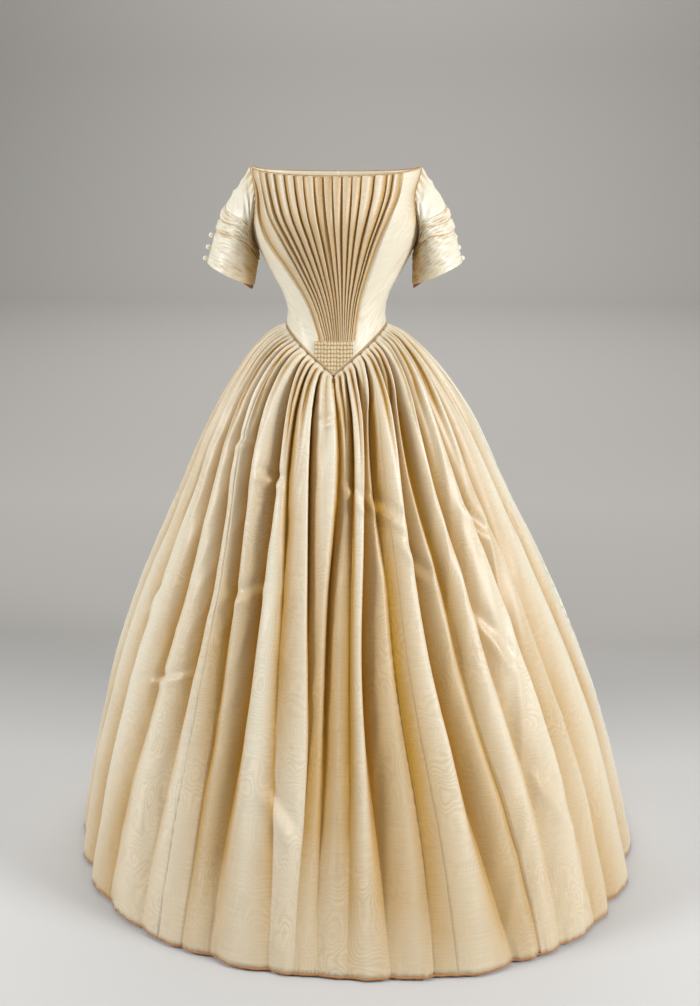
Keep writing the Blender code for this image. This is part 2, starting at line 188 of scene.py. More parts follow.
@dataclass(frozen=True)
class SkirtForm:
    """The skirt without its folds, from the waist seam down."""

    drop: tuple = (0.000, 0.010, 0.030, 0.075, 0.150, 0.300, 0.500, 0.750, 1.021)
    half_width: tuple = (0.0873, 0.112, 0.138, 0.179, 0.228, 0.298, 0.392, 0.483, 0.549)
    side_y: tuple = (0.000, 0.002, 0.005, 0.012, 0.028, 0.055, 0.085, 0.118, 0.145)
    front_y: tuple = (-0.1053, -0.1190, -0.131, -0.149, -0.173, -0.219, -0.282, -0.354, -0.425)
    back_y: tuple = (0.0703, 0.106, 0.147, 0.206, 0.279, 0.386, 0.506, 0.618, 0.712)
    lean_x: tuple = (0.000, 0.000, 0.000, 0.002, 0.005, 0.008, 0.011, 0.021, 0.027)
    roundness: tuple = (1.00, 1.00, 1.00, 1.00, 1.00, 0.98, 0.95, 0.91, 0.89)
    forward_lean: tuple = (0.00, 0.00, 0.00, 0.00, 0.00, 0.00, 0.02, 0.04, 0.05)
    front_point_drop: float = 0.073
    back_point_drop: float = 0.012
    point_fade: int = 4

    def section_runs(self) -> Array:
        """Where each section lies along the side of the skirt.

        Returns:
            A share of the way down for each section.
        """
        steps = np.hypot(np.diff(self.drop), np.diff(self.half_width))
        length = np.concatenate([[0.0], np.cumsum(steps)])
        return length / length[-1]

    def dip(self, angle: Array) -> Array:
        """How far the waist seam dips below the waist at an angle."""
        deepest = np.where(np.cos(angle) >= 0, self.front_point_drop, self.back_point_drop)
        return deepest * (1 - np.abs(np.sin(angle)))

    def point(self, run: Array, angle: Array) -> Array:
        """Points of the form.

        Args:
            run: Share of the way down, from 0 at the waist to 1 at the hem.
            angle: Angle from the front, in radians.

        Returns:
            One point for each pair.
        """
        run, angle = np.broadcast_arrays(np.asarray(run, float), np.asarray(angle, float))
        places = self.section_runs()
        names = ("half_width", "side_y", "front_y", "back_y", "roundness")
        x, y = oval_section(angle, *(smooth_curve(places, getattr(self, name), run) for name in names))
        lean, forward, drop = (smooth_curve(places, getattr(self, name), run)
                               for name in ("lean_x", "forward_lean", "drop"))
        z = -drop - self.dip(angle) * (1 - run) ** self.point_fade
        return np.stack([x + lean, y - forward * x, z], axis=-1)

    def facing(self, run: Array, angle: Array) -> Array:
        """Which way a crown faces: square to the cloth at the waist, and level at the hem.

        Args:
            run: Share of the way down.
            angle: Angle from the front, in radians.

        Returns:
            One unit vector for each pair.
        """
        away = outward(self.point, run, angle)
        away[..., 2] *= 1 - run
        return away / np.linalg.norm(away, axis=-1, keepdims=True)


@dataclass(frozen=True)
class BodiceForm:
    """The bodice without its pleats, from the waist seam (rise 0) to the neckline (rise 1)."""

    skirt: SkirtForm = SkirtForm()
    rise: tuple = (0.00, 0.10, 0.20, 0.35, 0.50, 0.65, 0.75, 0.88, 1.00)
    half_width: tuple = (0.0860, 0.0845, 0.0925, 0.114, 0.134, 0.1445, 0.1440, 0.1415, 0.1437)
    front_y: tuple = (-0.1040, -0.0965, -0.0905, -0.0925, -0.105, -0.122, -0.129, -0.122, -0.110)
    back_y: tuple = (0.069, 0.066, 0.067, 0.076, 0.087, 0.095, 0.098, 0.096, 0.090)
    side_angle: tuple = (90, 90, 90, 90, 87, 74, 69, 71, 87)
    neck_height: float = 0.267
    front_dip: float = 0.012
    back_dip: float = 0.016
    dip_shape: float = 0.7
    seam_lift: float = 0.0032

    def column(self, name: str, rise: Array) -> Array:
        """A named column of the table at each rise."""
        return smooth_curve(self.rise, getattr(self, name), rise)

    def side_edge(self, rise: Array) -> Array:
        """Angle in degrees of the side seam, and above it of the armhole's edge."""
        return np.minimum(self.column("side_angle", rise), 90)

    def neck(self, angle: Array) -> Array:
        """Height of the neckline at an angle."""
        dip = np.where(np.cos(angle) >= 0, self.front_dip, self.back_dip)
        return self.neck_height - dip * np.abs(np.cos(angle)) ** self.dip_shape

    def point(self, rise: Array, angle: Array) -> Array:
        """Points of the form.

        Args:
            rise: Share of the way up, from 0 to 1.
            angle: Angle from the front, in radians.

        Returns:
            One point for each pair.
        """
        rise, angle = np.broadcast_arrays(np.asarray(rise, float), np.asarray(angle, float))
        x, y = oval_section(angle, self.column("half_width", rise), 0.0, self.column("front_y", rise),
                            self.column("back_y", rise), 1.0)
        z = (1 - rise) * -self.skirt.dip(angle) + rise * self.neck(angle)
        return np.stack([x, y, z + self.seam_lift * (1 - rise)], axis=-1)


@dataclass
class ShaderTree:
    """A material under construction, with short ways to add and join its nodes."""

    name: str

    def __post_init__(self) -> None:
        """Makes the material, empty but for its shader and output."""
        self.material = bpy.data.materials.new(self.name)
        self.material.use_nodes = True
        self.nodes = self.material.node_tree.nodes
        self.shader = self.nodes["Principled BSDF"]

    def join(self, source: bpy.types.NodeSocket, target: bpy.types.NodeSocket) -> None:
        """Links one socket to another."""
        self.material.node_tree.links.new(source, target)

    def put(self, value: object, socket: bpy.types.NodeSocket) -> None:
        """Links a socket, or sets the socket's own value.

        Args:
            value: A source socket, or a value.
            socket: The socket that takes it.
        """
        if isinstance(value, bpy.types.NodeSocket):
            self.join(value, socket)
        else:
            socket.default_value = value

    def math(self, how: str, first: object, second: object = 0.0,
             third: object = 0.0) -> bpy.types.NodeSocket:
        """Adds a Math node.

        Args:
            how: Its operation.
            first: First value or socket.
            second: Second value or socket.
            third: Third value or socket, for the operations that have one.

        Returns:
            The result's socket.
        """
        node = self.nodes.new("ShaderNodeMath")
        node.operation = how
        for place, value in enumerate((first, second, third)):
            self.put(value, node.inputs[place])
        return node.outputs[0]

    def noise(self, vector: object, scale: float, detail: float = 2.0) -> bpy.types.NodeSocket:
        """Adds a Noise Texture in two dimensions.

        Args:
            vector: Where it is read.
            scale: How fine it is.
            detail: How many finer layers it has.

        Returns:
            The noise, of about 0 to 1.
        """
        node = self.nodes.new("ShaderNodeTexNoise")
        node.noise_dimensions = "2D"
        self.put(vector, node.inputs["Vector"])
        node.inputs["Scale"].default_value = scale
        node.inputs["Detail"].default_value = detail
        return node.outputs[0]

    def vector(self, x: object, y: object) -> bpy.types.NodeSocket:
        """Puts two numbers together as a vector.

        Args:
            x: First value or socket.
            y: Second value or socket.

        Returns:
            The vector.
        """
        node = self.nodes.new("ShaderNodeCombineXYZ")
        self.put(x, node.inputs[0])
        self.put(y, node.inputs[1])
        return node.outputs[0]

    def mix(self, share: object, first: object, second: object,
            how: str = "MIX") -> bpy.types.NodeSocket:
        """Mixes two colours.

        Args:
            share: How much of the second.
            first: Colour or socket.
            second: Colour or socket.
            how: Blend type.

        Returns:
            The colour's socket.
        """
        node = self.nodes.new("ShaderNodeMix")
        node.data_type = "RGBA"
        node.blend_type = how
        self.put(share, node.inputs[0])
        for place, value in ((6, first), (7, second)):
            self.put((*value, 1.0) if isinstance(value, tuple) else value, node.inputs[place])
        return node.outputs[2]

    def bump(self, height: bpy.types.NodeSocket, strength: float, distance: float) -> None:
        """Drives the shader's normal from a height.

        Args:
            height: The height's socket.
            strength: Share of its effect.
            distance: Metres that a height of 1 stands for.
        """
        node = self.nodes.new("ShaderNodeBump")
        node.inputs["Strength"].default_value = strength
        node.inputs["Distance"].default_value = distance
        self.join(height, node.inputs["Height"])
        self.join(node.outputs[0], self.shader.inputs["Normal"])

    def split(self, vector: bpy.types.NodeSocket) -> list[bpy.types.NodeSocket]:
        """Takes a vector apart into X, Y and Z.

        Args:
            vector: The vector's socket.

        Returns:
            Its three sockets.
        """
        node = self.nodes.new("ShaderNodeSeparateXYZ")
        self.join(vector, node.inputs[0])
        return list(node.outputs)

    def object_place(self) -> list[bpy.types.NodeSocket]:
        """X, Y and Z in the piece's own space."""
        return self.split(self.nodes.new("ShaderNodeTexCoord").outputs["Object"])

    def cloth_place(self) -> list[bpy.types.NodeSocket]:
        """Reads the place on the cloth from the piece's own UV map.

        Returns:
            Metres across and metres along.
        """
        uv = self.nodes.new("ShaderNodeUVMap")
        uv.uv_map = "cloth"
        return self.split(uv.outputs[0])[:2]

    def attribute(self, name: str) -> bpy.types.NodeSocket:
        """Reads a number that is stored on the piece's points.

        Args:
            name: The attribute's name.

        Returns:
            Its value.
        """
        node = self.nodes.new("ShaderNodeAttribute")
        node.attribute_name = name
        return node.outputs["Fac"]


@dataclass(frozen=True)
class WateredSilk:
    """Ribbed silk with a watered finish: wood-grain figures mirrored about the cloth's fold."""

    name: str = "watered_silk"
    # The crown colour is the silk's own; the valley and deep colours paint the shade and the warm light
    # bounced in the folds
    crown: Colour = (0.83, 0.785, 0.645)
    valley: Colour = (0.44, 0.228, 0.014)
    painted_deep_shade: Colour = (0.13, 0.055, 0.010)
    figure_light: Colour = (1.10, 1.09, 1.07)
    figure_dark: Colour = (0.90, 0.88, 0.85)
    roughness: float = 0.34
    figure_roughness: float = 0.10
    sheen: float = 0.06
    sheen_roughness: float = 0.35
    sheen_tint: Colour = (1.0, 0.93, 0.80)
    # Figures: width of a mirrored repeat, share of their change along the cloth, scale, how far
    # they sway in rings, and rings to a metre
    mirror_width: float = 0.17
    figure_stretch: float = 0.45
    figure_scale: float = 24.0
    figure_sway: float = 17.0
    figure_rings: float = 26.0
    figure_amount: float = 0.62
    # Where the figures fade: scale, level and contrast of the patches, and the least that is left
    fade_scale: float = 9.0
    fade_level: float = 0.30
    fade_contrast: float = 2.4
    fade_least: float = 0.15
    # Streaks along the ribs, and the ribs themselves
    streak_stretch: float = 0.05
    streak_scale: float = 700.0
    streak_light: Colour = (1.10, 1.10, 1.10)
    streak_dark: Colour = (0.88, 0.87, 0.85)
    rib_stretch: float = 0.08
    rib_scale: float = 1100.0
    rib_strength: float = 0.25
    rib_height: float = 0.0006

    def make(self) -> bpy.types.Material:
        """Builds the material from the cloth's own UV map and its valley attribute of painted shade.

        Returns:
            The material.
        """
        tree = ShaderTree(self.name)
        u, v = tree.cloth_place()
        mirrored = tree.math("PINGPONG", u, self.mirror_width)
        stretched = tree.vector(mirrored, tree.math("MULTIPLY", v, self.figure_stretch))
        sway = tree.noise(stretched, self.figure_scale, 1.0)
        rise = tree.math("MULTIPLY", v, self.figure_rings)
        phase = tree.math("MULTIPLY_ADD", sway, self.figure_sway, rise)
        rings = tree.math("SINE", tree.math("MULTIPLY", phase, math.tau))
        rings = tree.math("MULTIPLY_ADD", rings, 0.5, 0.5)
        patches = tree.noise(tree.vector(u, v), self.fade_scale, 1.0)
        fade = tree.math("SUBTRACT", patches, self.fade_level)
        fade = tree.math("MAXIMUM", tree.math("MULTIPLY", fade, self.fade_contrast), self.fade_least)
        amount = tree.math("MULTIPLY", tree.math("MINIMUM", fade, 1.0), self.figure_amount)
        streaked = tree.vector(tree.math("MULTIPLY", u, self.streak_stretch), v)
        streak = tree.mix(tree.noise(streaked, self.streak_scale), self.streak_dark, self.streak_light)
        figure = tree.mix(rings, self.figure_dark, self.figure_light)
        # Painted shade: the valley attribute mixes the crown colour towards the valley colour, and past
        # 1 on towards the deep colour
        depth = tree.attribute("valley")
        shaded_base = tree.mix(depth, self.crown, self.valley)
        past = tree.math("MAXIMUM", tree.math("SUBTRACT", depth, 1.0), 0.0)
        shaded_base = tree.mix(past, shaded_base, self.painted_deep_shade)
        watered = tree.mix(amount, shaded_base, tree.mix(1.0, shaded_base, figure, "MULTIPLY"))
        tree.join(tree.mix(1.0, watered, streak, "MULTIPLY"), tree.shader.inputs["Base Color"])
        rough = tree.math("MULTIPLY_ADD", rings, self.figure_roughness, self.roughness)
        tree.join(rough, tree.shader.inputs["Roughness"])
        tree.shader.inputs["Sheen Weight"].default_value = self.sheen
        tree.shader.inputs["Sheen Roughness"].default_value = self.sheen_roughness
        tree.shader.inputs["Sheen Tint"].default_value = (*self.sheen_tint, 1.0)
        ribbed = tree.vector(tree.math("MULTIPLY", u, self.rib_stretch), v)
        tree.bump(tree.noise(ribbed, self.rib_scale, 1.0), self.rib_strength, self.rib_height)
        return tree.material


@dataclass(frozen=True)
class PlainWeave:
    """A plain woven cloth or braid, coarse or fine."""

    name: str
    light: Colour
    dark: Colour
    threads: float
    roughness: float = 0.85
    sheen: float = 0.3
    relief: float = 0.4
    relief_height: float = 0.0005

    def make(self) -> bpy.types.Material:
        """Builds the material with crossed threads from Object coordinates.

        Returns:
            The material.
        """
        tree = ShaderTree(self.name)
        x, y, z = tree.object_place()
        warp = tree.math("SINE", tree.math("MULTIPLY", tree.math("ADD", x, y), self.threads))
        weft = tree.math("SINE", tree.math("MULTIPLY", z, self.threads))
        weave = tree.math("MULTIPLY_ADD", tree.math("MULTIPLY", warp, weft), 0.5, 0.5)
        tree.join(tree.mix(weave, self.dark, self.light), tree.shader.inputs["Base Color"])
        tree.shader.inputs["Roughness"].default_value = self.roughness
        tree.shader.inputs["Sheen Weight"].default_value = self.sheen
        tree.bump(weave, self.relief, self.relief_height)
        return tree.material


@dataclass(frozen=True)
class StudioPaper:
    """Pale paper of the floor, which darkens towards the back and up the wall in painted shade."""

    name: str = "studio_paper"
    # Way from the middle of the floor back and then up, with the paper's painted brightness there, which
    # stands for the light's fall-off
    painted_shading: tuple = ((-1.0, 0.575), (-0.3, 0.575), (0.4, 0.61), (1.1, 0.395), (2.4, 0.50), (7.5, 0.48),
                     (10.0, 0.475))
    floor_tint: Colour = (1.0, 0.995, 0.985)
    wall_tint: Colour = (1.0, 0.965, 0.91)
    tint_change: float = 1.0
    roughness: float = 0.9

    def make(self) -> bpy.types.Material:
        """Builds the material from the paper's own place.

        Returns:
            The material.
        """
        tree = ShaderTree(self.name)
        _, y, z = tree.object_place()
        way = tree.math("ADD", tree.math("ADD", y, z), -FLOOR_HEIGHT)
        first, last = self.painted_shading[0][0], self.painted_shading[-1][0]
        ramp = tree.nodes.new("ShaderNodeValToRGB")
        tree.join(tree.math("DIVIDE", tree.math("SUBTRACT", way, first), last - first), ramp.inputs[0])
        while len(ramp.color_ramp.elements) < len(self.painted_shading):
            ramp.color_ramp.elements.new(0.5)
        for stop, (distance, _) in zip(ramp.color_ramp.elements, self.painted_shading):
            stop.position = (distance - first) / (last - first)
        for stop, (distance, shade) in zip(ramp.color_ramp.elements, self.painted_shading):
            tint = self.wall_tint if distance > self.tint_change else self.floor_tint
            stop.color = (*(shade * part for part in tint), 1.0)
        tree.join(ramp.outputs[0], tree.shader.inputs["Base Color"])
        tree.shader.inputs["Roughness"].default_value = self.roughness
        return tree.material


@dataclass(frozen=True)
class Finishes:
    """Every material of the dress."""

    silk: bpy.types.Material
    shirred: bpy.types.Material
    piping: bpy.types.Material
    facing: bpy.types.Material
    braid: bpy.types.Material
    thread: bpy.types.Material

    @classmethod
    def make(cls) -> "Finishes":
        """Builds all of them.

        Returns:
            The finishes.
        """
        return cls(
            silk=WateredSilk().make(),
            shirred=WateredSilk("shirred_silk", crown=(0.72, 0.60, 0.385), valley=(0.36, 0.20, 0.05),
                                figure_amount=0.3).make(),
            # The pipings' dark brown paints the thin shadow line along the neckline and the waist seam
            # onto their real cords
            piping=WateredSilk("piping_silk_painted_shadow", crown=(0.50, 0.30, 0.11), figure_amount=0.1).make(),
            # The facing's dark reddish brown paints the shade inside the sleeves' hems onto the real
            # facing
            facing=PlainWeave("brown_cotton", (0.34, 0.14, 0.06), (0.20, 0.07, 0.03), 5200.0).make(),
            braid=PlainWeave("wool_braid", (0.62, 0.27, 0.07), (0.36, 0.13, 0.03), 2600.0).make(),
            thread=PlainWeave("silk_thread", (0.42, 0.28, 0.12), (0.32, 0.20, 0.08), 9000.0, 0.5).make(),
        )


@dataclass
class ClothGrid:
    """Points of a piece of cloth in rows and columns, with what its finish reads."""

    points: Array
    # valley: painted shade at each point, which the silk mixes towards its valley colour
    valley: Array
    across: Array
    along: Array
    closed: bool = False

    def faces(self) -> list[tuple[int, int, int, int]]:
        """Faces of the grid, wrapping round where it is closed.

        Returns:
            The four corners of each face.
        """
        rows, columns = self.points.shape[:2]
        last = columns if self.closed else columns - 1
        return [
            (r * columns + c, r * columns + (c + 1) % columns,
             (r + 1) * columns + (c + 1) % columns, (r + 1) * columns + c)
            for r in range(rows - 1) for c in range(last)
        ]

    def piece(self, name: str, finish: bpy.types.Material, flip: bool = False,
              wall: float = CLOTH_WALL) -> bpy.types.Object:
        """Makes the piece, with its UV map, valley attribute of painted shade and wall.

        Args:
            name: The piece's name.
            finish: Its material.
            flip: Whether the faces are turned over, to point outwards.
            wall: Thickness of the cloth, which goes inwards.

        Returns:
            The object, linked to the scene.
        """
        mesh = bpy.data.meshes.new(name)
        faces = self.faces()
        if flip:
            faces = [tuple(reversed(face)) for face in faces]
        mesh.from_pydata([tuple(p) for p in self.points.reshape(-1, 3).tolist()], [], faces)
        mesh.shade_smooth()
        corner = np.empty(len(mesh.loops), np.int32)
        mesh.loops.foreach_get("vertex_index", corner)
        uv = mesh.uv_layers.new(name="cloth")
        flat = np.stack([self.across.ravel()[corner], self.along.ravel()[corner]], axis=-1)
        if self.closed:
            turn = abs(self.across[0, 1] - self.across[0, 0]) * self.points.shape[1]
            u = flat.reshape(-1, 4, 2)[:, :, 0]
            wraps = (u.max(axis=1) - u.min(axis=1)) > turn / 2
            u += np.where(wraps[:, None] & (u < u.mean(axis=1, keepdims=True)), turn, 0)
        uv.data.foreach_set("uv", flat.astype(np.float32).ravel())
        # The valley attribute carries the painted shade
        layer = mesh.attributes.new("valley", "FLOAT", "POINT")
        layer.data.foreach_set("value", self.valley.astype(np.float32).ravel())
        mesh.materials.append(finish)
        made = bpy.data.objects.new(name, mesh)
        bpy.context.scene.collection.objects.link(made)
        solid = made.modifiers.new("Wall", "SOLIDIFY")
        solid.thickness = wall
        solid.offset = -1
        return made


def declare(piece: bpy.types.Object, nodes: list[str]) -> bpy.types.Object:
    """Says what a piece rides on and stands for.

    Args:
        piece: The piece.
        nodes: The solids that it stands for.

    Returns:
        The same piece.
    """
    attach(piece, "root")
    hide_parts(*nodes)
    return piece


class NodeTree:
    """A Geometry Nodes tree with named inputs, run once on a carrier mesh."""

    def __init__(self, name: str, inputs: dict[str, float]) -> None:
        """Makes the tree's sockets.

        Args:
            name: The tree's name.
            inputs: Name and value of each size.
        """
        self.tree = bpy.data.node_groups.new(name, "GeometryNodeTree")
        self.values = inputs
        self.tree.interface.new_socket("Geometry", in_out="INPUT", socket_type="NodeSocketGeometry")
        self.sockets = {
            key: self.tree.interface.new_socket(key, in_out="INPUT", socket_type="NodeSocketFloat")
            for key in inputs
        }
        self.tree.interface.new_socket("Geometry", in_out="OUTPUT", socket_type="NodeSocketGeometry")
        self.entry = self.tree.nodes.new("NodeGroupInput")
        self.exit = self.tree.nodes.new("NodeGroupOutput")

    def add(self, kind: str, settings: dict[str, object] | None = None,
            **links: object) -> bpy.types.Node:
        """Adds a node.

        Args:
            kind: Its type.
            settings: Properties to set on it.
            **links: Value or source socket for each input, with _ for a space.

        Returns:
            The node.
        """
        node = self.tree.nodes.new(kind)
        for key, value in (settings or {}).items():
            setattr(node, key, value)
        for key, value in links.items():
            socket = node.inputs[key.replace("_", " ")]
            if isinstance(value, bpy.types.NodeSocket):
                self.tree.links.new(value, socket)
            else:
                socket.default_value = value
        return node

    def size(self, name: str) -> bpy.types.NodeSocket:
        """The socket of a named input."""
        return self.entry.outputs[name]

    def finish(self, geometry: bpy.types.NodeSocket, material: bpy.types.Material) -> None:
        """Ends the tree in Realize Instances and Set Material.

        Args:
            geometry: What the tree has made.
            material: Its finish.
        """
        real = self.add("GeometryNodeRealizeInstances", Geometry=geometry)
        smooth = self.add("GeometryNodeSetShadeSmooth", Geometry=real.outputs[0])
        done = self.add("GeometryNodeSetMaterial", Geometry=smooth.outputs[0], Material=material)
        self.tree.links.new(done.outputs[0], self.exit.inputs[0])
        self.material = material

    def run(self, name: str, points: Array, edges: list[tuple[int, int]]) -> bpy.types.Object:
        """Runs the tree on points and edges, and keeps the result as a plain mesh.

        Args:
            name: The piece's name.
            points: The carrier's points.
            edges: The carrier's edges, none for loose points.

        Returns:
            The piece.
        """
        carrier = bpy.data.meshes.new(f"{name}_carrier")
        carrier.from_pydata([tuple(p) for p in points.tolist()], edges, [])
        made = bpy.data.objects.new(name, carrier)
        bpy.context.scene.collection.objects.link(made)
        live = made.modifiers.new("Nodes", "NODES")
        live.node_group = self.tree
        for key, socket in self.sockets.items():
            live[socket.identifier] = self.values[key]
        graph = bpy.context.evaluated_depsgraph_get()
        mesh = bpy.data.meshes.new_from_object(made.evaluated_get(graph), preserve_all_data_layers=True,
                                               depsgraph=graph)
        made.modifiers.clear()
        made.data = mesh
        mesh.name = name
        mesh.materials.clear()
        mesh.materials.append(self.material)
        return made


def cord_tree(radius: float, material: bpy.types.Material) -> NodeTree:
    """A tree that sweeps a round cord along its carrier's edges.

    Args:
        radius: The cord's radius.
        material: Its finish.

    Returns:
        The tree.
    """
    tree = NodeTree("piping_cord", {"Radius": radius, "Step": 0.003})
    curve = tree.add("GeometryNodeMeshToCurve", Mesh=tree.entry.outputs[0])
    even = tree.add("GeometryNodeResampleCurve", {"mode": "LENGTH"}, Curve=curve.outputs[0],
                    Length=tree.size("Step"))
    ring = tree.add("GeometryNodeCurvePrimitiveCircle", Resolution=8, Radius=tree.size("Radius"))
    swept = tree.add("GeometryNodeCurveToMesh", Curve=even.outputs[0], Profile_Curve=ring.outputs[0],
                     Fill_Caps=True)
    tree.finish(swept.outputs[0], material)
    return tree


def stitch_tree(length: float, spacing: float, radius: float, material: bpy.types.Material) -> NodeTree:
    """A tree that lays running stitches along its carrier's edges.

    Args:
        length: Length of a stitch.
        spacing: Distance from one stitch to the next.
        radius: Radius of the thread.
        material: The thread's finish.

    Returns:
        The tree.
    """
    tree = NodeTree("running_stitch", {"Length": length, "Spacing": spacing, "Radius": radius})
    curve = tree.add("GeometryNodeMeshToCurve", Mesh=tree.entry.outputs[0])
    even = tree.add("GeometryNodeCurveToPoints", {"mode": "LENGTH"}, Curve=curve.outputs[0],
                    Length=tree.size("Spacing"))
    thread = tree.add("GeometryNodeMeshCylinder", Vertices=5, Radius=tree.size("Radius"),
                      Depth=tree.size("Length"))
    along = tree.add("FunctionNodeAlignRotationToVector", {"axis": "Z"}, Vector=even.outputs["Tangent"])
    laid = tree.add("GeometryNodeInstanceOnPoints", Points=even.outputs["Points"],
                    Instance=thread.outputs[0], Rotation=along.outputs[0])
    tree.finish(laid.outputs[0], material)
    return tree


def button_tree(radius: float, material: bpy.types.Material) -> NodeTree:
    """A tree that sets a round covered button on each of its carrier's points.

    Args:
        radius: The button's radius.
        material: Its finish.

    Returns:
        The tree.
    """
    tree = NodeTree("covered_button", {"Radius": radius})
    ball = tree.add("GeometryNodeMeshUVSphere", Segments=24, Rings=14, Radius=tree.size("Radius"))
    spots = tree.add("GeometryNodeMeshToPoints", Mesh=tree.entry.outputs[0])
    laid = tree.add("GeometryNodeInstanceOnPoints", Points=spots.outputs[0], Instance=ball.outputs[0])
    tree.finish(laid.outputs[0], material)
    return tree


def chain(count: int, start: int = 0) -> list[tuple[int, int]]:
    """Edges that join points one after another, from a first number on."""
    return [(start + n, start + n + 1) for n in range(count - 1)]


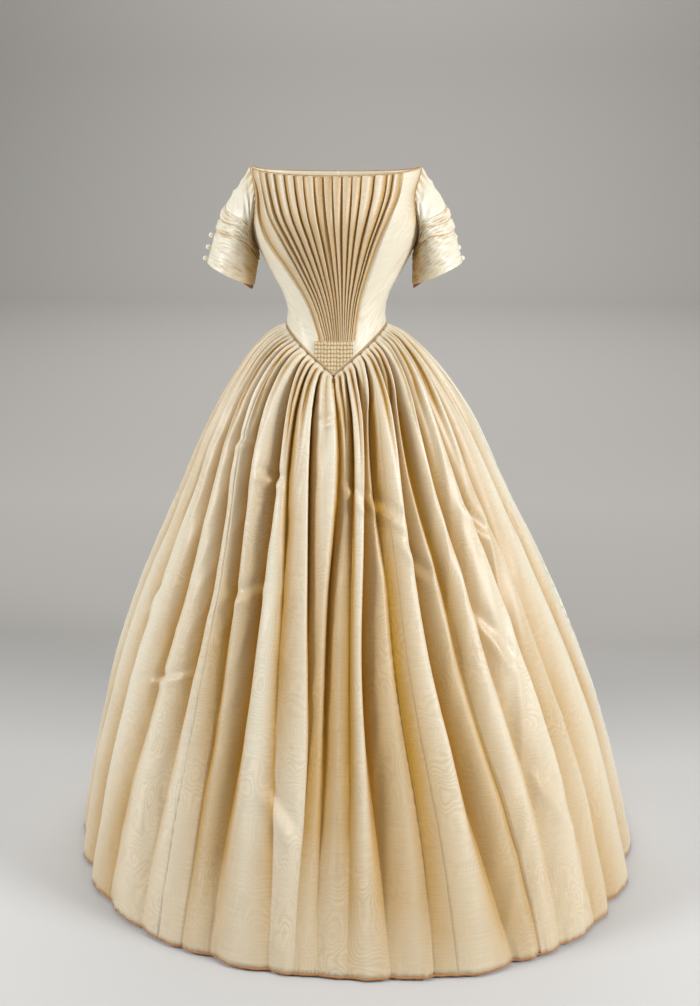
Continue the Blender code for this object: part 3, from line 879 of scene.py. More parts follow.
@dataclass
class Skirt:
    """Six straight widths, cartridge pleated into the waist seam, over a braid at the hem."""

    finishes: Finishes
    form: SkirtForm = SkirtForm()
    fold_parts: int = 22
    rows: int = 190
    # Valleys in front: angle at hip, knee and hem in degrees, depth at hip, knee, low and hem in
    # millimetres, spread of the valley and how far the cloth beside it leans over it
    front_folds: tuple = (
        (-90, -90, -90, 14, 14, 12, 10, 1.0, 0.0),
        (-79, -76, -76, 16, 14, 12, 16, 1.2, -0.2),
        (-70, -63, -65, 18, 16, 14, 20, 1.0, -0.3),
        (-60, -49, -52, 22, 22, 9, 6, 1.2, -0.2),
        (-50, -38, -40, 18, 18, 11, 5, 1.0, -0.3),
        (-40, -30, -29, 16, 26, 9, 4, 1.2, -0.2),
        (-27, -22, -22, 24, 28, 24, 10, 1.3, -0.3),
        (-20, -13.5, -11, 12, 8, 5, 5, 1.2, 0.3),
        (-10, -6, -6, 18, 26, 4, 4, 0.9, 0.5),
        (2, -1, -3, 14, 30, 20, 7, 1.0, 0.3),
        (8, 3.5, 1, 18, 8, 4, 3, 1.0, -0.3),
        (16, 8, 7, 16, 30, 27, 11, 1.4, 0.5),
        (21, 15, 14, 16, 9, 6, 5, 1.3, 0.3),
        (32, 24, 30, 18, 32, 30, 12, 1.5, 0.5),
        (38, 32, 36, 18, 20, 5, 4, 1.0, 0.3),
        (46, 40, 42, 18, 14, 12, 7, 1.3, 0.4),
        (56, 52, 53, 18, 15, 11, 6, 1.2, 0.5),
        (66, 60, 62, 16, 14, 13, 14, 1.2, 0.4),
        (80, 76, 77, 14, 13, 12, 16, 1.1, 0.2),
    )
    # Hidden folds: middle, swing, beat and start of each value
    back_folds: tuple = (
        ("knee", 0, 2.5, 2.1, 0.0), ("hem", 0, 3.0, 1.7, 1.0), ("hip_depth", 16, 3, 2.3, 0.0),
        ("knee_depth", 18, 9, 2.9, 0.0), ("low_depth", 17, 9, 2.9, 0.6), ("hem_depth", 13, 5, 2.9, 1.0),
    )
    back_count: int = 17
    back_spread: float = 1.1
    back_lean: float = 0.35
    # Where the values of a valley hold, as shares of the way down, and its depths at the waist. A
    # sine of a fold's number, here and below, makes no two folds alike.
    angle_runs: tuple = (0.0, 0.12, 0.45, 1.0)
    depth_runs: tuple = (0.0, 0.025, 0.052, 0.12, 0.42, 0.78, 1.0)
    waist_depths: tuple = (0.6, 12.5, 16.5)
    hip_deeper: float = 1.4
    point_ease: float = 0.3
    wander: float = 0.55
    wander_beat: float = 8.5
    depth_change: float = 0.10
    depth_beat: float = 11.0
    # Small pleats between the valleys, which fade out below the waist, and the depth that gives them
    # full painted shade
    between_runs: tuple = (0.0, 0.015, 0.05, 0.11, 0.19, 0.30)
    between_depths: tuple = (0.3, 6.5, 8.5, 7.5, 4.0, 0.0)
    between_change: float = 0.25
    between_share: float = 0.17
    between_spread: float = 0.006
    between_dark: float = 0.006
    sway_runs: tuple = (0.0, 0.04, 0.30)
    sways: tuple = (0.0, 0.05, 0.26)
    # Dents: wave lengths to half the skirt's width, their slant and field, and their depth
    broad_dents: tuple = (3.2, 1.5, 31)
    fine_dents: tuple = (9.0, 5.0, 32)
    broad_depth: float = 0.0036
    fine_depth: float = 0.0013
    # Drag lines beside the seams, and puckers over the hem
    drag_depth: float = 0.0021
    drag_pitch: float = 0.021
    drag_slant: float = 0.7
    drag_reach: float = 0.020
    drag_start: float = 0.35
    hem_pucker: float = 0.0017
    hem_reach: float = 0.026
    # Painted shade: depth at which a valley is fully shaded at the waist and how much deeper it is
    # below, power of the fall-off below and how much more at the waist, and the low skirt's flatter
    # painted shade
    dark_depth: float = 0.005
    dark_deeper: float = 0.013
    dark_power: float = 0.5
    waist_power: float = 0.4
    waist_reach: float = 0.15
    waist_shade: float = 0.75
    low_start: float = 0.68
    low_flatness: float = 0.5
    low_shade: float = 0.26
    # Creases: share down, angle, tilt from level, half length, half width and step in millimetres
    creases: tuple = (
        (0.252, -25.3, -10, 24, 8, 6.5), (0.440, -25.0, 35, 30, 9, 5.5), (0.128, -1.8, 50, 16, 6, 3.5),
        (0.270, 7.6, -55, 30, 7, 4.0), (0.296, 17.6, -50, 34, 8, 5.0), (0.607, -44.3, 22, 56, 6, 4.5),
        (0.767, -10.0, -55, 46, 11, 5.5), (0.207, -42.0, 20, 22, 8, 3.0), (0.382, 24.9, -60, 45, 8, 4.0),
        (0.344, 52.3, -60, 40, 9, 3.5), (0.528, 43.2, -65, 60, 10, 3.5), (0.787, 47.4, -60, 60, 12, 4.0),
        (0.506, -61.4, 60, 50, 9, 3.5), (0.350, 120, 50, 40, 9, 4.0), (0.550, 165, -40, 50, 10, 4.5),
        (0.450, -130, -50, 45, 9, 4.0), (0.700, -160, 55, 60, 12, 4.5), (0.620, 100, -55, 50, 10, 4.0),
        (0.750, -105, 60, 50, 12, 4.0), (0.300, -165, 40, 36, 9, 4.0),
    )
    spread_runs: tuple = (0.0, 0.02, 0.06, 0.15, 0.45, 0.75, 1.0)
    spreads: tuple = (1.8, 2.2, 3.4, 5.6, 10.0, 17.0, 26.0)
    widths: tuple = (
        ("skirt_front", -4.5, 3.25), ("skirt_left_side", 3.25, 9.5), ("skirt_left_back", 9.5, 15.5),
        ("skirt_middle_back", 15.5, 20.5), ("skirt_right_back", 20.5, 25.5),
        ("skirt_right_side", 25.5, 31.5),
    )
    cut_width: float = 0.58
    cut_length: float = 1.06
    crispness: float = 1.3
    lean_gain: float = 1.5
    most_lean: float = 0.85
    gentle_side: float = 1.3
    steep_side: float = 0.85
    overhang: float = 0.55
    lean_run: float = 0.125
    hem_ease: float = 0.7
    crowding: float = 0.085
    row_crowding: float = 0.35
    rounding: float = 0.004
    rounding_share: float = 0.07
    braid_parts: int = 12
    braid_part_width: float = 0.008
    braid_runs: tuple = (0.999, 1.0)
    braid_height: float = 0.004
    braid_drop: float = 0.0004
    braid_wall: float = 0.0015

    def folds(self) -> list[tuple]:
        """Every valley round the skirt, the hidden ones after those in front.

        Returns:
            The values of front_folds, a row for each valley.
        """
        rows = list(self.front_folds)
        for step in range(1, self.back_count + 1):
            hip = 90 + step * 180 / (self.back_count + 1)
            value = {name: middle + swing * math.sin(beat * step + start)
                     for name, middle, swing, beat, start in self.back_folds}
            rows.append((hip, hip + value["knee"], hip + value["hem"], value["hip_depth"],
                         value["knee_depth"], value["low_depth"], value["hem_depth"],
                         self.back_spread, self.back_lean * math.sin(1.9 * step)))
        return rows

    def valley(self, number: int, run: Array) -> tuple[Array, Array, Array, float]:
        """One valley's course.

        Args:
            number: Its place, which may be past a full turn.
            run: Shares of the way down.

        Returns:
            Angle in radians, depth and half spread in metres at each run, and its lean in use.
        """
        folds = self.folds()
        turns, row = divmod(number - FIRST_FOLD, len(folds))
        hip, knee, hem, *depths, spread, lean = folds[row]
        start = (row + FIRST_FOLD) * FOLD_STEP
        angle = smooth_curve(self.angle_runs, (start, hip, knee, hem), run) + 360 * turns
        beat = self.wander_beat * run * (1 + 0.25 * math.sin(row))
        angle = angle + self.wander * run * np.sin(beat + 1.7 * row)
        ease = self.point_ease if row == -FIRST_FOLD else 1
        waist = [depth * ease for depth in self.waist_depths]
        depths = (depths[0] * self.hip_deeper * (1 + ease) / 2, *depths[1:])
        depth = np.interp(run, self.depth_runs, (*waist, *depths))
        depth = depth * (1 + self.depth_change * np.sin(self.depth_beat * run + 2.3 * row))
        width = smooth_curve(self.spread_runs, self.spreads, run)
        width = width * (1 + (spread - 1) * np.minimum(run * 4, 1))
        lean = float(np.clip(lean * self.lean_gain, -self.most_lean, self.most_lean))
        return np.radians(angle), depth / 1000, width / 1000, lean

    def crumple(self, angle: Array, run: Array) -> Array:
        """Small uneven dents of stiff silk.

        Args:
            angle: Angles from the front, in radians.
            run: Shares of the way down.

        Returns:
            How far each point sinks.
        """
        x, y = np.sin(angle), np.cos(angle)
        broad, fine = (np.abs(waves(x * beat + run * slant, y * beat - run * slant, seed))
                       for beat, slant, seed in (self.broad_dents, self.fine_dents))
        sink = self.broad_depth * broad + self.fine_depth * (1 + run) * fine
        return sink * np.clip(run * 5, 0, 1)

    def creased(self, angle: Array, run: Array, pace: Array) -> Array:
        """Short creases where the cloth buckles, each a step that fades at its ends.

        Args:
            angle: Angles from the front, in radians.
            run: Shares of the way down.
            pace: Metres to a radian at each point.

        Returns:
            How far each point sinks.
        """
        total = np.zeros(angle.shape)
        for down, middle, tilt, length, width, step in self.creases:
            x = ((angle - math.radians(middle) + math.pi) % math.tau - math.pi) * pace
            y = (down - run) * self.cut_length
            turn = math.radians(tilt)
            u = (x * math.cos(turn) + y * math.sin(turn)) * 1000 / length
            v = (y * math.cos(turn) - x * math.sin(turn)) * 1000 / width
            total += step / 1000 * v * np.exp(0.5 - 0.5 * v * v - u ** 4)
        return total

    def puckered(self, places: Array, run: Array, spacing: Array) -> Array:
        """Small drag lines beside the seams and upright puckers over the hem.

        Args:
            places: Columns, in folds.
            run: Shares of the way down.
            spacing: Metres from one valley to the next at each point.

        Returns:
            How far each point sinks.
        """
        seams = np.array([start for _, start, _ in self.widths] + [self.widths[-1][2]])
        nearest = seams[np.abs(places[:, None] - seams[None, :]).argmin(axis=1)]
        away = (places - nearest)[None, :] * spacing
        down = run * self.cut_length
        phase = math.pi * (down - self.drag_slant * np.abs(away)) / self.drag_pitch
        drag = np.abs(np.sin(phase + 2 * np.sin(down * 19)))
        beside = np.exp(-(away / self.drag_reach) ** 2) * np.clip((run - self.drag_start) * 4, 0, 1)
        column = (places % len(self.folds()))[None, :]
        hem = np.abs(np.sin(column * 13 + 3 * np.sin(column * 2.1)))
        over_hem = np.exp(-((1 - run) / self.hem_reach) ** 2)
        return self.drag_depth * drag * beside + self.hem_pucker * hem * over_hem

    def places(self, start: float, end: float) -> Array:
        """Column positions between two seams, crowded at the valleys.

        Args:
            start: The first seam, in folds.
            end: The second seam, in folds.

        Returns:
            The columns, in folds.
        """
        even = np.arange(self.fold_parts) / self.fold_parts
        crowded = even - self.crowding * np.sin(math.tau * even)
        inside = [n + f for n in range(math.floor(start), math.ceil(end)) for f in crowded]
        return np.array([start] + [p for p in inside if start + 1e-6 < p < end - 1e-6] + [end])

    def surface(self, places: Array, run: Array) -> tuple[Array, Array]:
        """Folded cloth.

        Args:
            places: Columns, whole at a valley and half at a crown.
            run: Rows, from the waist to the hem.

        Returns:
            Points, and the painted shade of each: 1 at the bottom of a valley, and more near the waist.
        """
        number = np.floor(places).astype(int)
        share = (places - number)[None, :]
        courses = {n: self.valley(n, run) for n in range(number.min(), number.max() + 2)}
        (angle, depth, spread), (next_angle, next_depth, next_spread) = (
            [np.stack([courses[n + on][item] for n in number], axis=1) for item in range(3)]
            for on in (0, 1))
        lean, next_lean = (np.array([courses[n + on][3] for n in number])[None, :] for on in (0, 1))
        rows = np.broadcast_to(run[:, None], angle.shape)
        place = angle + (next_angle - angle) * share
        pace = pace_round(self.form.point, rows, place)
        spacing = (next_angle - angle) * pace
        low = np.clip((rows - self.low_start) / (1 - self.low_start), 0, 1)
        started = np.minimum(rows / self.lean_run, 1) * (1 - self.hem_ease * low)
        after = spread * (1 + started * np.where(lean > 0, self.gentle_side, self.steep_side) * lean)
        before = next_spread * (1 - started * np.where(next_lean > 0, self.steep_side, self.gentle_side)
                                * next_lean)
        here = np.exp(-np.abs(share * spacing / after) ** self.crispness)
        there = np.exp(-np.abs((1 - share) * spacing / before) ** self.crispness)
        rounding = np.minimum(self.rounding_share * spacing, self.rounding) * (2 * share - 1) ** 2
        small = self.small_pleats(number, share, rows, spacing)
        sink = depth * here + next_depth * there + rounding + small
        sink = sink + self.crumple(place, rows) + self.creased(place, rows, pace)
        sink = sink + self.puckered(places, rows, spacing)
        shift = (lean * depth * here + next_lean * next_depth * there) * started
        place = place - self.overhang * shift / pace
        points = self.form.point(rows, place) - self.form.facing(rows, place) * sink[..., None]
        near, deepest = np.maximum(here, there), np.maximum(depth, next_depth)
        return points, self.painted_shade(rows, low, near, deepest, small)

    def small_pleats(self, number: Array, share: Array, rows: Array, spacing: Array) -> Array:
        """Small pleats between the valleys.

        Args:
            number: The valley before each column.
            share: How far each column is on the way to the next valley.
            rows: Shares of the way down.
            spacing: Metres from one valley to the next at each point.

        Returns:
            How far each point sinks.
        """
        fold = number % len(self.folds())
        sway = np.sin(2.7 * fold)[None, :] * np.interp(rows, self.sway_runs, self.sways)
        small = np.interp(rows, self.between_runs, self.between_depths) / 1000
        uneven = 1 - self.between_change + self.between_change * np.sin(1.9 * fold + 1)
        reach = np.minimum(self.between_share * spacing, self.between_spread)
        between = np.exp(-np.abs((share - (0.5 + sway)) * spacing / reach) ** self.crispness)
        return between * (small * uneven[None, :])

    def painted_shade(self, rows: Array, low: Array, near: Array, deepest: Array, small: Array) -> Array:
        """Painted shade of the cloth, most in the deep valleys under the waist.

        Args:
            rows: Shares of the way down.
            low: 0 above the low skirt, up to 1 at the hem.
            near: 1 at a valley's bottom, less away from it.
            deepest: Depth of the deeper valley beside each point.
            small: How far the small pleats sink.

        Returns:
            The painted shade, 0 on a crown.
        """
        soft = np.clip(deepest / (self.dark_depth + self.dark_deeper * np.minimum(rows * 4, 1)), 0, 1)
        near_waist = np.exp(-(rows / self.waist_reach) ** 2)
        dark = near ** (self.dark_power + self.waist_power * near_waist) * soft
        dark = np.clip(np.maximum(dark, small / self.between_dark), 0, 1)
        dark = dark * (1 - self.low_flatness * low) + self.low_shade * low
        return dark * (1 + self.waist_shade * near_waist * dark ** 3)

    def build(self) -> list[bpy.types.Object]:
        """Returns:
            The pieces.
        """
        share = np.linspace(0, 1, self.rows)
        run = self.row_crowding * share ** 2 + (1 - self.row_crowding) * share
        braid = self.build_braid()
        made = []
        for name, start, end in self.widths:
            places = self.places(start, end)
            # valley here is the painted shade that the silk reads
            points, valley = self.surface(places, run)
            points = drawn_in(points)
            steps = np.linalg.norm(np.diff(points[len(run) // 2], axis=0), axis=1)
            across = np.concatenate([[0], np.cumsum(steps)])
            along = run[:, None] * self.cut_length
            grid = ClothGrid(points, valley, np.broadcast_to(across + start, valley.shape),
                             np.broadcast_to(along, valley.shape))
            piece = declare(grid.piece(f"silk_{name}", self.finishes.silk, flip=True), [name])
            log.info("%s: %d columns, %.2f m of cloth across", name, len(places), across[-1])
            made.append(piece)
        return made + [braid]

    def build_braid(self) -> bpy.types.Object:
        """Makes the braid under the hem.

        Returns:
            The piece.
        """
        count = len(self.folds())
        even = np.arange(count * self.braid_parts) / self.braid_parts + FIRST_FOLD
        edge, _ = self.surface(even, np.array(self.braid_runs))
        top = edge[1] - (0, 0, self.braid_drop)
        points = np.stack([top - (0, 0, self.braid_height), top])
        across = np.broadcast_to(np.arange(len(even)) * self.braid_part_width, points.shape[:2])
        along = np.broadcast_to(np.array([[0.0], [self.braid_height]]), points.shape[:2])
        grid = ClothGrid(points, np.zeros(points.shape[:2]), across, along, closed=True)
        piece = grid.piece("wool_hem_braid", self.finishes.braid, wall=self.braid_wall)
        return declare(piece, ["hem_braid"])


@dataclass
class Bodice:
    """The fitted bodice: pleated front, two backs, shirred shield and pipings."""

    finishes: Finishes
    form: BodiceForm = BodiceForm()
    pleat_parts: int = 14
    side_parts: int = 26
    back_parts: int = 48
    rows: int = 120
    pleat_heights: tuple = (-0.010, 0.050, 0.100, 0.150, 0.190, 0.225, 0.255)
    pleat_depths: tuple = (2.2, 3.3, 4.8, 6.2, 6.4, 4.8, 2.8)
    # Where each fan pleat's valley starts at the shield and ends at the neckline: X in millimetres,
    # from the wearer's right to left
    pleat_feet: tuple = (-24, -16, -12, -9, -5, -1, 2, 5, 8, 11, 14, 17, 20, 23, 27, 30, 34)
    pleat_tops: tuple = (-140, -124, -112, -97, -80, -64, -48, -31, -16, -1, 15, 31, 46, 67, 87, 97, 112)
    # Share of that way which a pleat has gone at each height, on either side
    right_course: tuple = (0, 0.18, 0.40, 0.65, 0.85, 0.94, 1)
    left_course: tuple = (0, 0.11, 0.30, 0.53, 0.76, 0.94, 1)
    outermost_course: tuple = (0, 0.19, 0.47, 0.78, 0.90, 0.92, 1)
    # A pleat's valley: spread on its soft and its crisp side, as a length and as a share of the
    # distance to the next, and how unlike the pleats are
    pleat_spread: float = 0.0070
    outermost_spread: float = 0.0155
    spread_share: float = 0.50
    crisp_spread: float = 0.0011
    crisp_share: float = 0.25
    crispness: float = 1.15
    unevenness: float = 0.22
    overhang: float = 0.35
    roll_height: float = 0.0018
    roll_share: float = 0.10
    crowding: float = 0.09
    fade_height: float = 0.004
    side_margin: float = 0.02
    # Soft troughs beside the fan: angle at the waist and at the upper end, depth, spread, and the
    # rises where they start and end
    troughs: tuple = ((30, 66, 0.0022, 0.009, 0.02, 0.55), (-30, -74, 0.0014, 0.006, 0.02, 0.50))
    trough_rise: float = 0.55
    # Painted shade: the least, that of a pleat's valley, and that of the armhole's edge with its reach
    # and lowest rise
    least_painted_shade: float = 0.08
    pleat_painted_shade: float = 0.9
    edge_painted_shade: float = 0.9
    edge_reach: float = 0.006
    edge_rise: float = 0.42
    # The backs' curved seam: share of the way from the side at the waist, how much nearer the side
    # it ends, half width, depth, painted shade in its dent, and depth of the cloth's pull at the waist
    seam_share: float = 0.52
    seam_curve: float = 0.22
    seam_width: float = 0.02
    seam_depth: float = 0.0011
    seam_painted_shade: float = 0.5
    waist_pull: float = 0.0006
    pull_rise: float = 0.35
    # The shield: half its angle, its top edge and foot, puffs across and down, and its threads
    point_angle: float = 22.0
    point_top: float = -0.019
    point_foot_rise: float = 0.006
    puckers: tuple = (12, 8)
    pucker_parts: int = 8
    pucker_height: float = 0.0013
    pucker_change: float = 0.3
    pucker_cloth: float = 0.02
    # Painted shade between the puffs: its level at the gathering seams and its change over a puff
    pucker_painted_shade: tuple = (1.3, -1.6)
    row_wander: float = 0.09
    column_wander: float = 0.10
    shield_lift: float = 0.0013
    shield_wall: float = 0.0007
    thread_radius: float = 0.00025
    stitch_length: float = 0.0024
    stitch_spacing: float = 0.0036
    # The pipings
    cord_points: int = 361
    cord_opening: float = 0.006
    neck_cord: float = 0.0009
    neck_inset: float = 0.0006
    neck_gap: float = 0.0003
    corner_turns: int = 4
    waist_cord: float = 0.0016
    waist_drop: float = 0.0020
    # Flat cuts, width and height, and the height that each piece's map gives its cloth
    front_cut: tuple = (0.62, 0.36)
    front_height: float = 0.34
    back_cut: tuple = (0.20, 0.30)
    back_height: float = 0.28
    shield_cut: tuple = (0.09, 0.075)

    def pleat_angles(self, rise: Array) -> Array:
        """Angle at which each pleat's valley crosses each rise.

        Args:
            rise: Rises of the rows.

        Returns:
            Angles in radians, a row for each rise and a column for each pleat.
        """
        feet, tops = (np.array(row, float)[:, None] / 1000 for row in (self.pleat_feet, self.pleat_tops))
        leftward = np.linspace(0, 1, len(feet))[:, None]
        course = np.array(self.right_course) * (1 - leftward) + np.array(self.left_course) * leftward
        course[0] = self.outermost_course
        reach = self.form.column("half_width", rise)
        angles = np.zeros((len(rise), len(feet)))
        for number, line in enumerate(feet + (tops - feet) * course):
            angle = np.zeros(len(rise))
            for _ in range(6):
                height = self.form.point(rise, angle)[:, 2]
                x = smooth_curve(self.pleat_heights, line, height)
                angle = np.arcsin(np.clip(x / reach, -0.98, 0.98))
            angles[:, number] = angle
        return angles

    def build_front(self) -> bpy.types.Object:
        """Makes the front, whose fan pleats run from the neckline to the shield.

        Returns:
            The piece.
        """
        rise = np.linspace(0, 1, self.rows)
        side = np.radians(self.form.side_edge(rise))[:, None]
        lines = np.clip(self.pleat_angles(rise), -side + self.side_margin, side - self.side_margin)
        knots = np.concatenate([-side, lines, side], axis=1)
        even = np.arange(self.pleat_parts) / self.pleat_parts
        crowded = even - self.crowding * np.sin(math.tau * even)
        out = np.linspace(0, 1, self.side_parts, endpoint=False)
        shares = [out, *[crowded] * (lines.shape[1] - 1), out, np.array([0.0])]
        place = np.concatenate([number + share for number, share in enumerate(shares)])
        number = np.minimum(place.astype(int), knots.shape[1] - 2)
        share = place - number
        angle = knots[:, number] * (1 - share) + knots[:, number + 1] * share
        rows = np.broadcast_to(rise[:, None], angle.shape)
        pace = pace_round(self.form.point, rows, angle)
        spacing = (knots[:, number + 1] - knots[:, number]) * pace
        height = self.form.point(rows, angle)[..., 2]
        above = np.clip((height - self.point_top) / self.fade_height, 0.0, 1)
        depth = np.interp(height, self.pleat_heights, self.pleat_depths) / 1000 * above
        valley, sink, shift = (np.zeros_like(angle) for _ in range(3))
        last = knots.shape[1] - 2
        outside = np.sign(knots[self.rows // 2])
        for edge, away in ((number, share * spacing), (number + 1, (share - 1) * spacing)):
            is_pleat = (edge >= 1) & (edge <= last)
            outer = outside[np.clip(edge, 0, last)]
            outermost = (edge == 1) | (edge == last)
            widest = np.where(outermost, self.outermost_spread, self.pleat_spread)
            near = np.minimum(self.spread_share * np.abs(spacing), widest)
            crisp = np.minimum(self.crisp_share * near, self.crisp_spread)
            spread = np.where(away * outer > 0, crisp, near)
            here = np.exp(-np.abs(away / np.maximum(spread, 1e-5)) ** self.crispness) * is_pleat
            uneven = 1 + self.unevenness * np.sin(edge * 2.4)
            valley = np.maximum(valley, here)
            sink = np.maximum(sink, here * depth * uneven)
            shift = shift + outer * here * depth * self.overhang
        inside = (number >= 1) & (number < last)
        # Pleats that are not beside an armhole count as many steps away, out of its edge's shade
        steps = np.where(number == 0, share, np.where(number == last, 1 - share, 9.0))
        # Painted shade along the armhole's edge, where the sleeve meets the bodice
        armhole_shading = self.edge_painted_shade * np.exp(-steps * np.abs(spacing) / self.edge_reach)
        valley = np.maximum(valley, armhole_shading * np.clip((rise[:, None] - self.edge_rise) * 8, 0, 1))
        roll = np.minimum(self.roll_share * np.abs(spacing), self.roll_height)
        roll = roll * (1 - (2 * share - 1) ** 2) * inside * above
        angle = angle + shift / pace
        normal = outward(self.form.point, rows, angle)
        sunk = sink - roll + self.soft_troughs(rows, angle, pace)
        points = self.form.point(rows, angle) - normal * sunk[..., None]
        across = np.broadcast_to(place / place[-1] * self.front_cut[0], angle.shape)
        along = np.broadcast_to(rise[:, None] * self.front_height, angle.shape)
        # Painted shade: a little everywhere, and more in the pleats' valleys
        painted_shade = np.clip(self.least_painted_shade + self.pleat_painted_shade * valley ** 0.5 * above, 0, 1)
        cloth = ClothGrid(drawn_in(points), painted_shade, across, along)
        return declare(cloth.piece("silk_bodice_front", self.finishes.silk), ["bodice_front"])

    def soft_troughs(self, rise: Array, angle: Array, pace: Array) -> Array:
        """Broad soft troughs beside the fan, parallel to the point's edge.

        Args:
            rise: Rise of each point.
            angle: Angle of each point.
            pace: Metres to a radian at each point.

        Returns:
            How far each point sinks.
        """
        total = np.zeros(rise.shape)
        for low, high, depth, spread, first, last in self.troughs:
            centre = np.radians(low + (high - low) * rise / self.trough_rise)
            window = np.clip((rise - first) / 0.08, 0, 1) * np.clip((last - rise) / 0.15, 0, 1)
            total += depth * window * np.exp(-((angle - centre) * pace / spread) ** 2)
        return total

    def build_back(self, side: Side) -> bpy.types.Object:
        """Makes one back, with the pull of its seams.

        Args:
            side: Which back.

        Returns:
            The piece.
        """
        rise = np.linspace(0, 1, self.rows)
        start = 180 - self.form.side_edge(rise)
        share = np.linspace(0, 1, self.back_parts)
        angle = np.radians(start[:, None] + (180 - start)[:, None] * share[None, :])
        rows = np.broadcast_to(rise[:, None], angle.shape)
        turned = angle * side.value
        points = self.form.point(rows, turned)
        normal = outward(self.form.point, rows, turned)
        beside = share[None, :] - (self.seam_share - self.seam_curve * rows)
        seam = np.exp(-(beside / self.seam_width) ** 2)
        pull = self.waist_pull * waves(share[None, :] * 3, rows * 9, 5 + side.value)
        pull = pull * np.exp(-(rows / self.pull_rise) ** 2)
        points = points - normal * (self.seam_depth * seam + pull)[..., None]
        # Painted shade in the seam's dent
        valley = self.seam_painted_shade * seam
        across = np.broadcast_to(share[None, :] * self.back_cut[0], rows.shape)
        along = rows * self.back_height
        if side is Side.RIGHT:
            points, valley, across = points[:, ::-1], valley[:, ::-1], across[:, ::-1]
        cloth = ClothGrid(drawn_in(points.copy()), valley, across, along)
        node = f"bodice_back_{side.word}"
        return declare(cloth.piece(f"silk_{node}", self.finishes.silk), [node])

    def build_shield(self) -> bpy.types.Object:
        """Makes the shirred shield, gathered in rows of small puffs.

        Returns:
            The piece.
        """
        across_count, down_count = self.puckers
        angle = np.radians(np.linspace(-self.point_angle, self.point_angle,
                                       across_count * self.pucker_parts + 1))
        foot = -self.form.skirt.dip(angle)
        tall = self.form.neck(angle) - foot
        row_height = (self.point_top - foot.min()) / down_count
        u = np.linspace(0, across_count, len(angle))
        share = np.linspace(0, 1, down_count * self.pucker_parts + 1)[:, None]
        rise = self.point_foot_rise + share * ((self.point_top - foot) / tall - self.point_foot_rise)
        level = (self.point_top - foot - rise * tall) / row_height
        across = u + self.column_wander * waves(u * 0.2, level * 0.5, 11)
        down = level + self.row_sway(u, level)
        puff = np.abs(np.sin(math.pi * across) * np.sin(math.pi * down)) ** 0.5
        angle = np.broadcast_to(angle, rise.shape)
        normal = outward(self.form.point, rise, angle)
        uneven = 1 + self.pucker_change * waves(u, level, 13)
        lift = self.shield_lift + self.pucker_height * puff * uneven
        points = self.form.point(rise, angle) + normal * lift[..., None]
        # Painted shade in the hollows between the puffs
        seam_painted_shade, puff_painted_shade = self.pucker_painted_shade
        cloth = ClothGrid(points, np.clip(seam_painted_shade + puff_painted_shade * puff, 0, 1),
                          np.broadcast_to(u * self.pucker_cloth, rise.shape), level * self.pucker_cloth)
        piece = cloth.piece("silk_shirred_point", self.finishes.shirred, wall=self.shield_wall)
        lines = []
        for row in range(1, down_count):
            height = self.point_top - (row - self.row_sway(u, row)) * row_height
            rises = (height - foot) / tall
            kept = rises > 2 * self.point_foot_rise
            seam, place = rises[kept], angle[0][kept]
            away = outward(self.form.point, seam, place) * (self.shield_lift + self.thread_radius)
            lines.append(self.form.point(seam, place) + away)
        self.build_threads(lines)
        return declare(piece, ["shirred_point"])

    def row_sway(self, u: Array, level: float | Array) -> Array:
        """How far a row of gathers wanders from level, in rows."""
        return self.row_wander * waves(u * 0.5, level * 0.2, 12)

    def build_threads(self, lines: list[Array]) -> bpy.types.Object:
        """Makes the gathering threads, a row of running stitches between each two rows of puffs.

        Args:
            lines: Points along each row.

        Returns:
            The piece.
        """
        edges, start = [], 0
        for line in lines:
            edges += chain(len(line), start)
            start += len(line)
        tree = stitch_tree(self.stitch_length, self.stitch_spacing, self.thread_radius,
                           self.finishes.thread)
        piece = tree.run("gathering_threads", np.concatenate(lines), edges)
        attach(piece, "root")
        return piece

    def build_pipings(self) -> list[bpy.types.Object]:
        """Makes the cords along the neckline and the waist seam, open at the centre back.

        Returns:
            The two pieces.
        """
        half = math.pi - self.cord_opening
        angle = np.linspace(-half, half, self.cord_points)
        ones = np.ones_like(angle)
        inset = outward(self.form.point, ones - 0.001, angle) * self.neck_inset
        neck = self.form.point(ones, angle) - inset
        for _ in range(self.corner_turns):
            neck[1:-1] = (neck[:-2] + 2 * neck[1:-1] + neck[2:]) / 4
        neck = neck + (0, 0, self.neck_cord + self.neck_gap)
        waist = self.form.point(ones * 0, angle) - (0, 0, self.waist_drop)
        made = []
        for name, path, radius in (("neck_piping", neck, self.neck_cord),
                                   ("waist_piping", waist, self.waist_cord)):
            tree = cord_tree(radius, self.finishes.piping)
            made.append(declare(tree.run(f"silk_{name}", path, chain(len(path))), [name]))
        return made

    def build(self) -> list[bpy.types.Object]:
        """Makes every piece of the bodice.

        Returns:
            The pieces.
        """
        pipings = self.build_pipings()
        front = self.build_front()
        shield = self.build_shield()
        backs = [self.build_back(side) for side in Side]
        return [front, shield, *backs, *pipings]


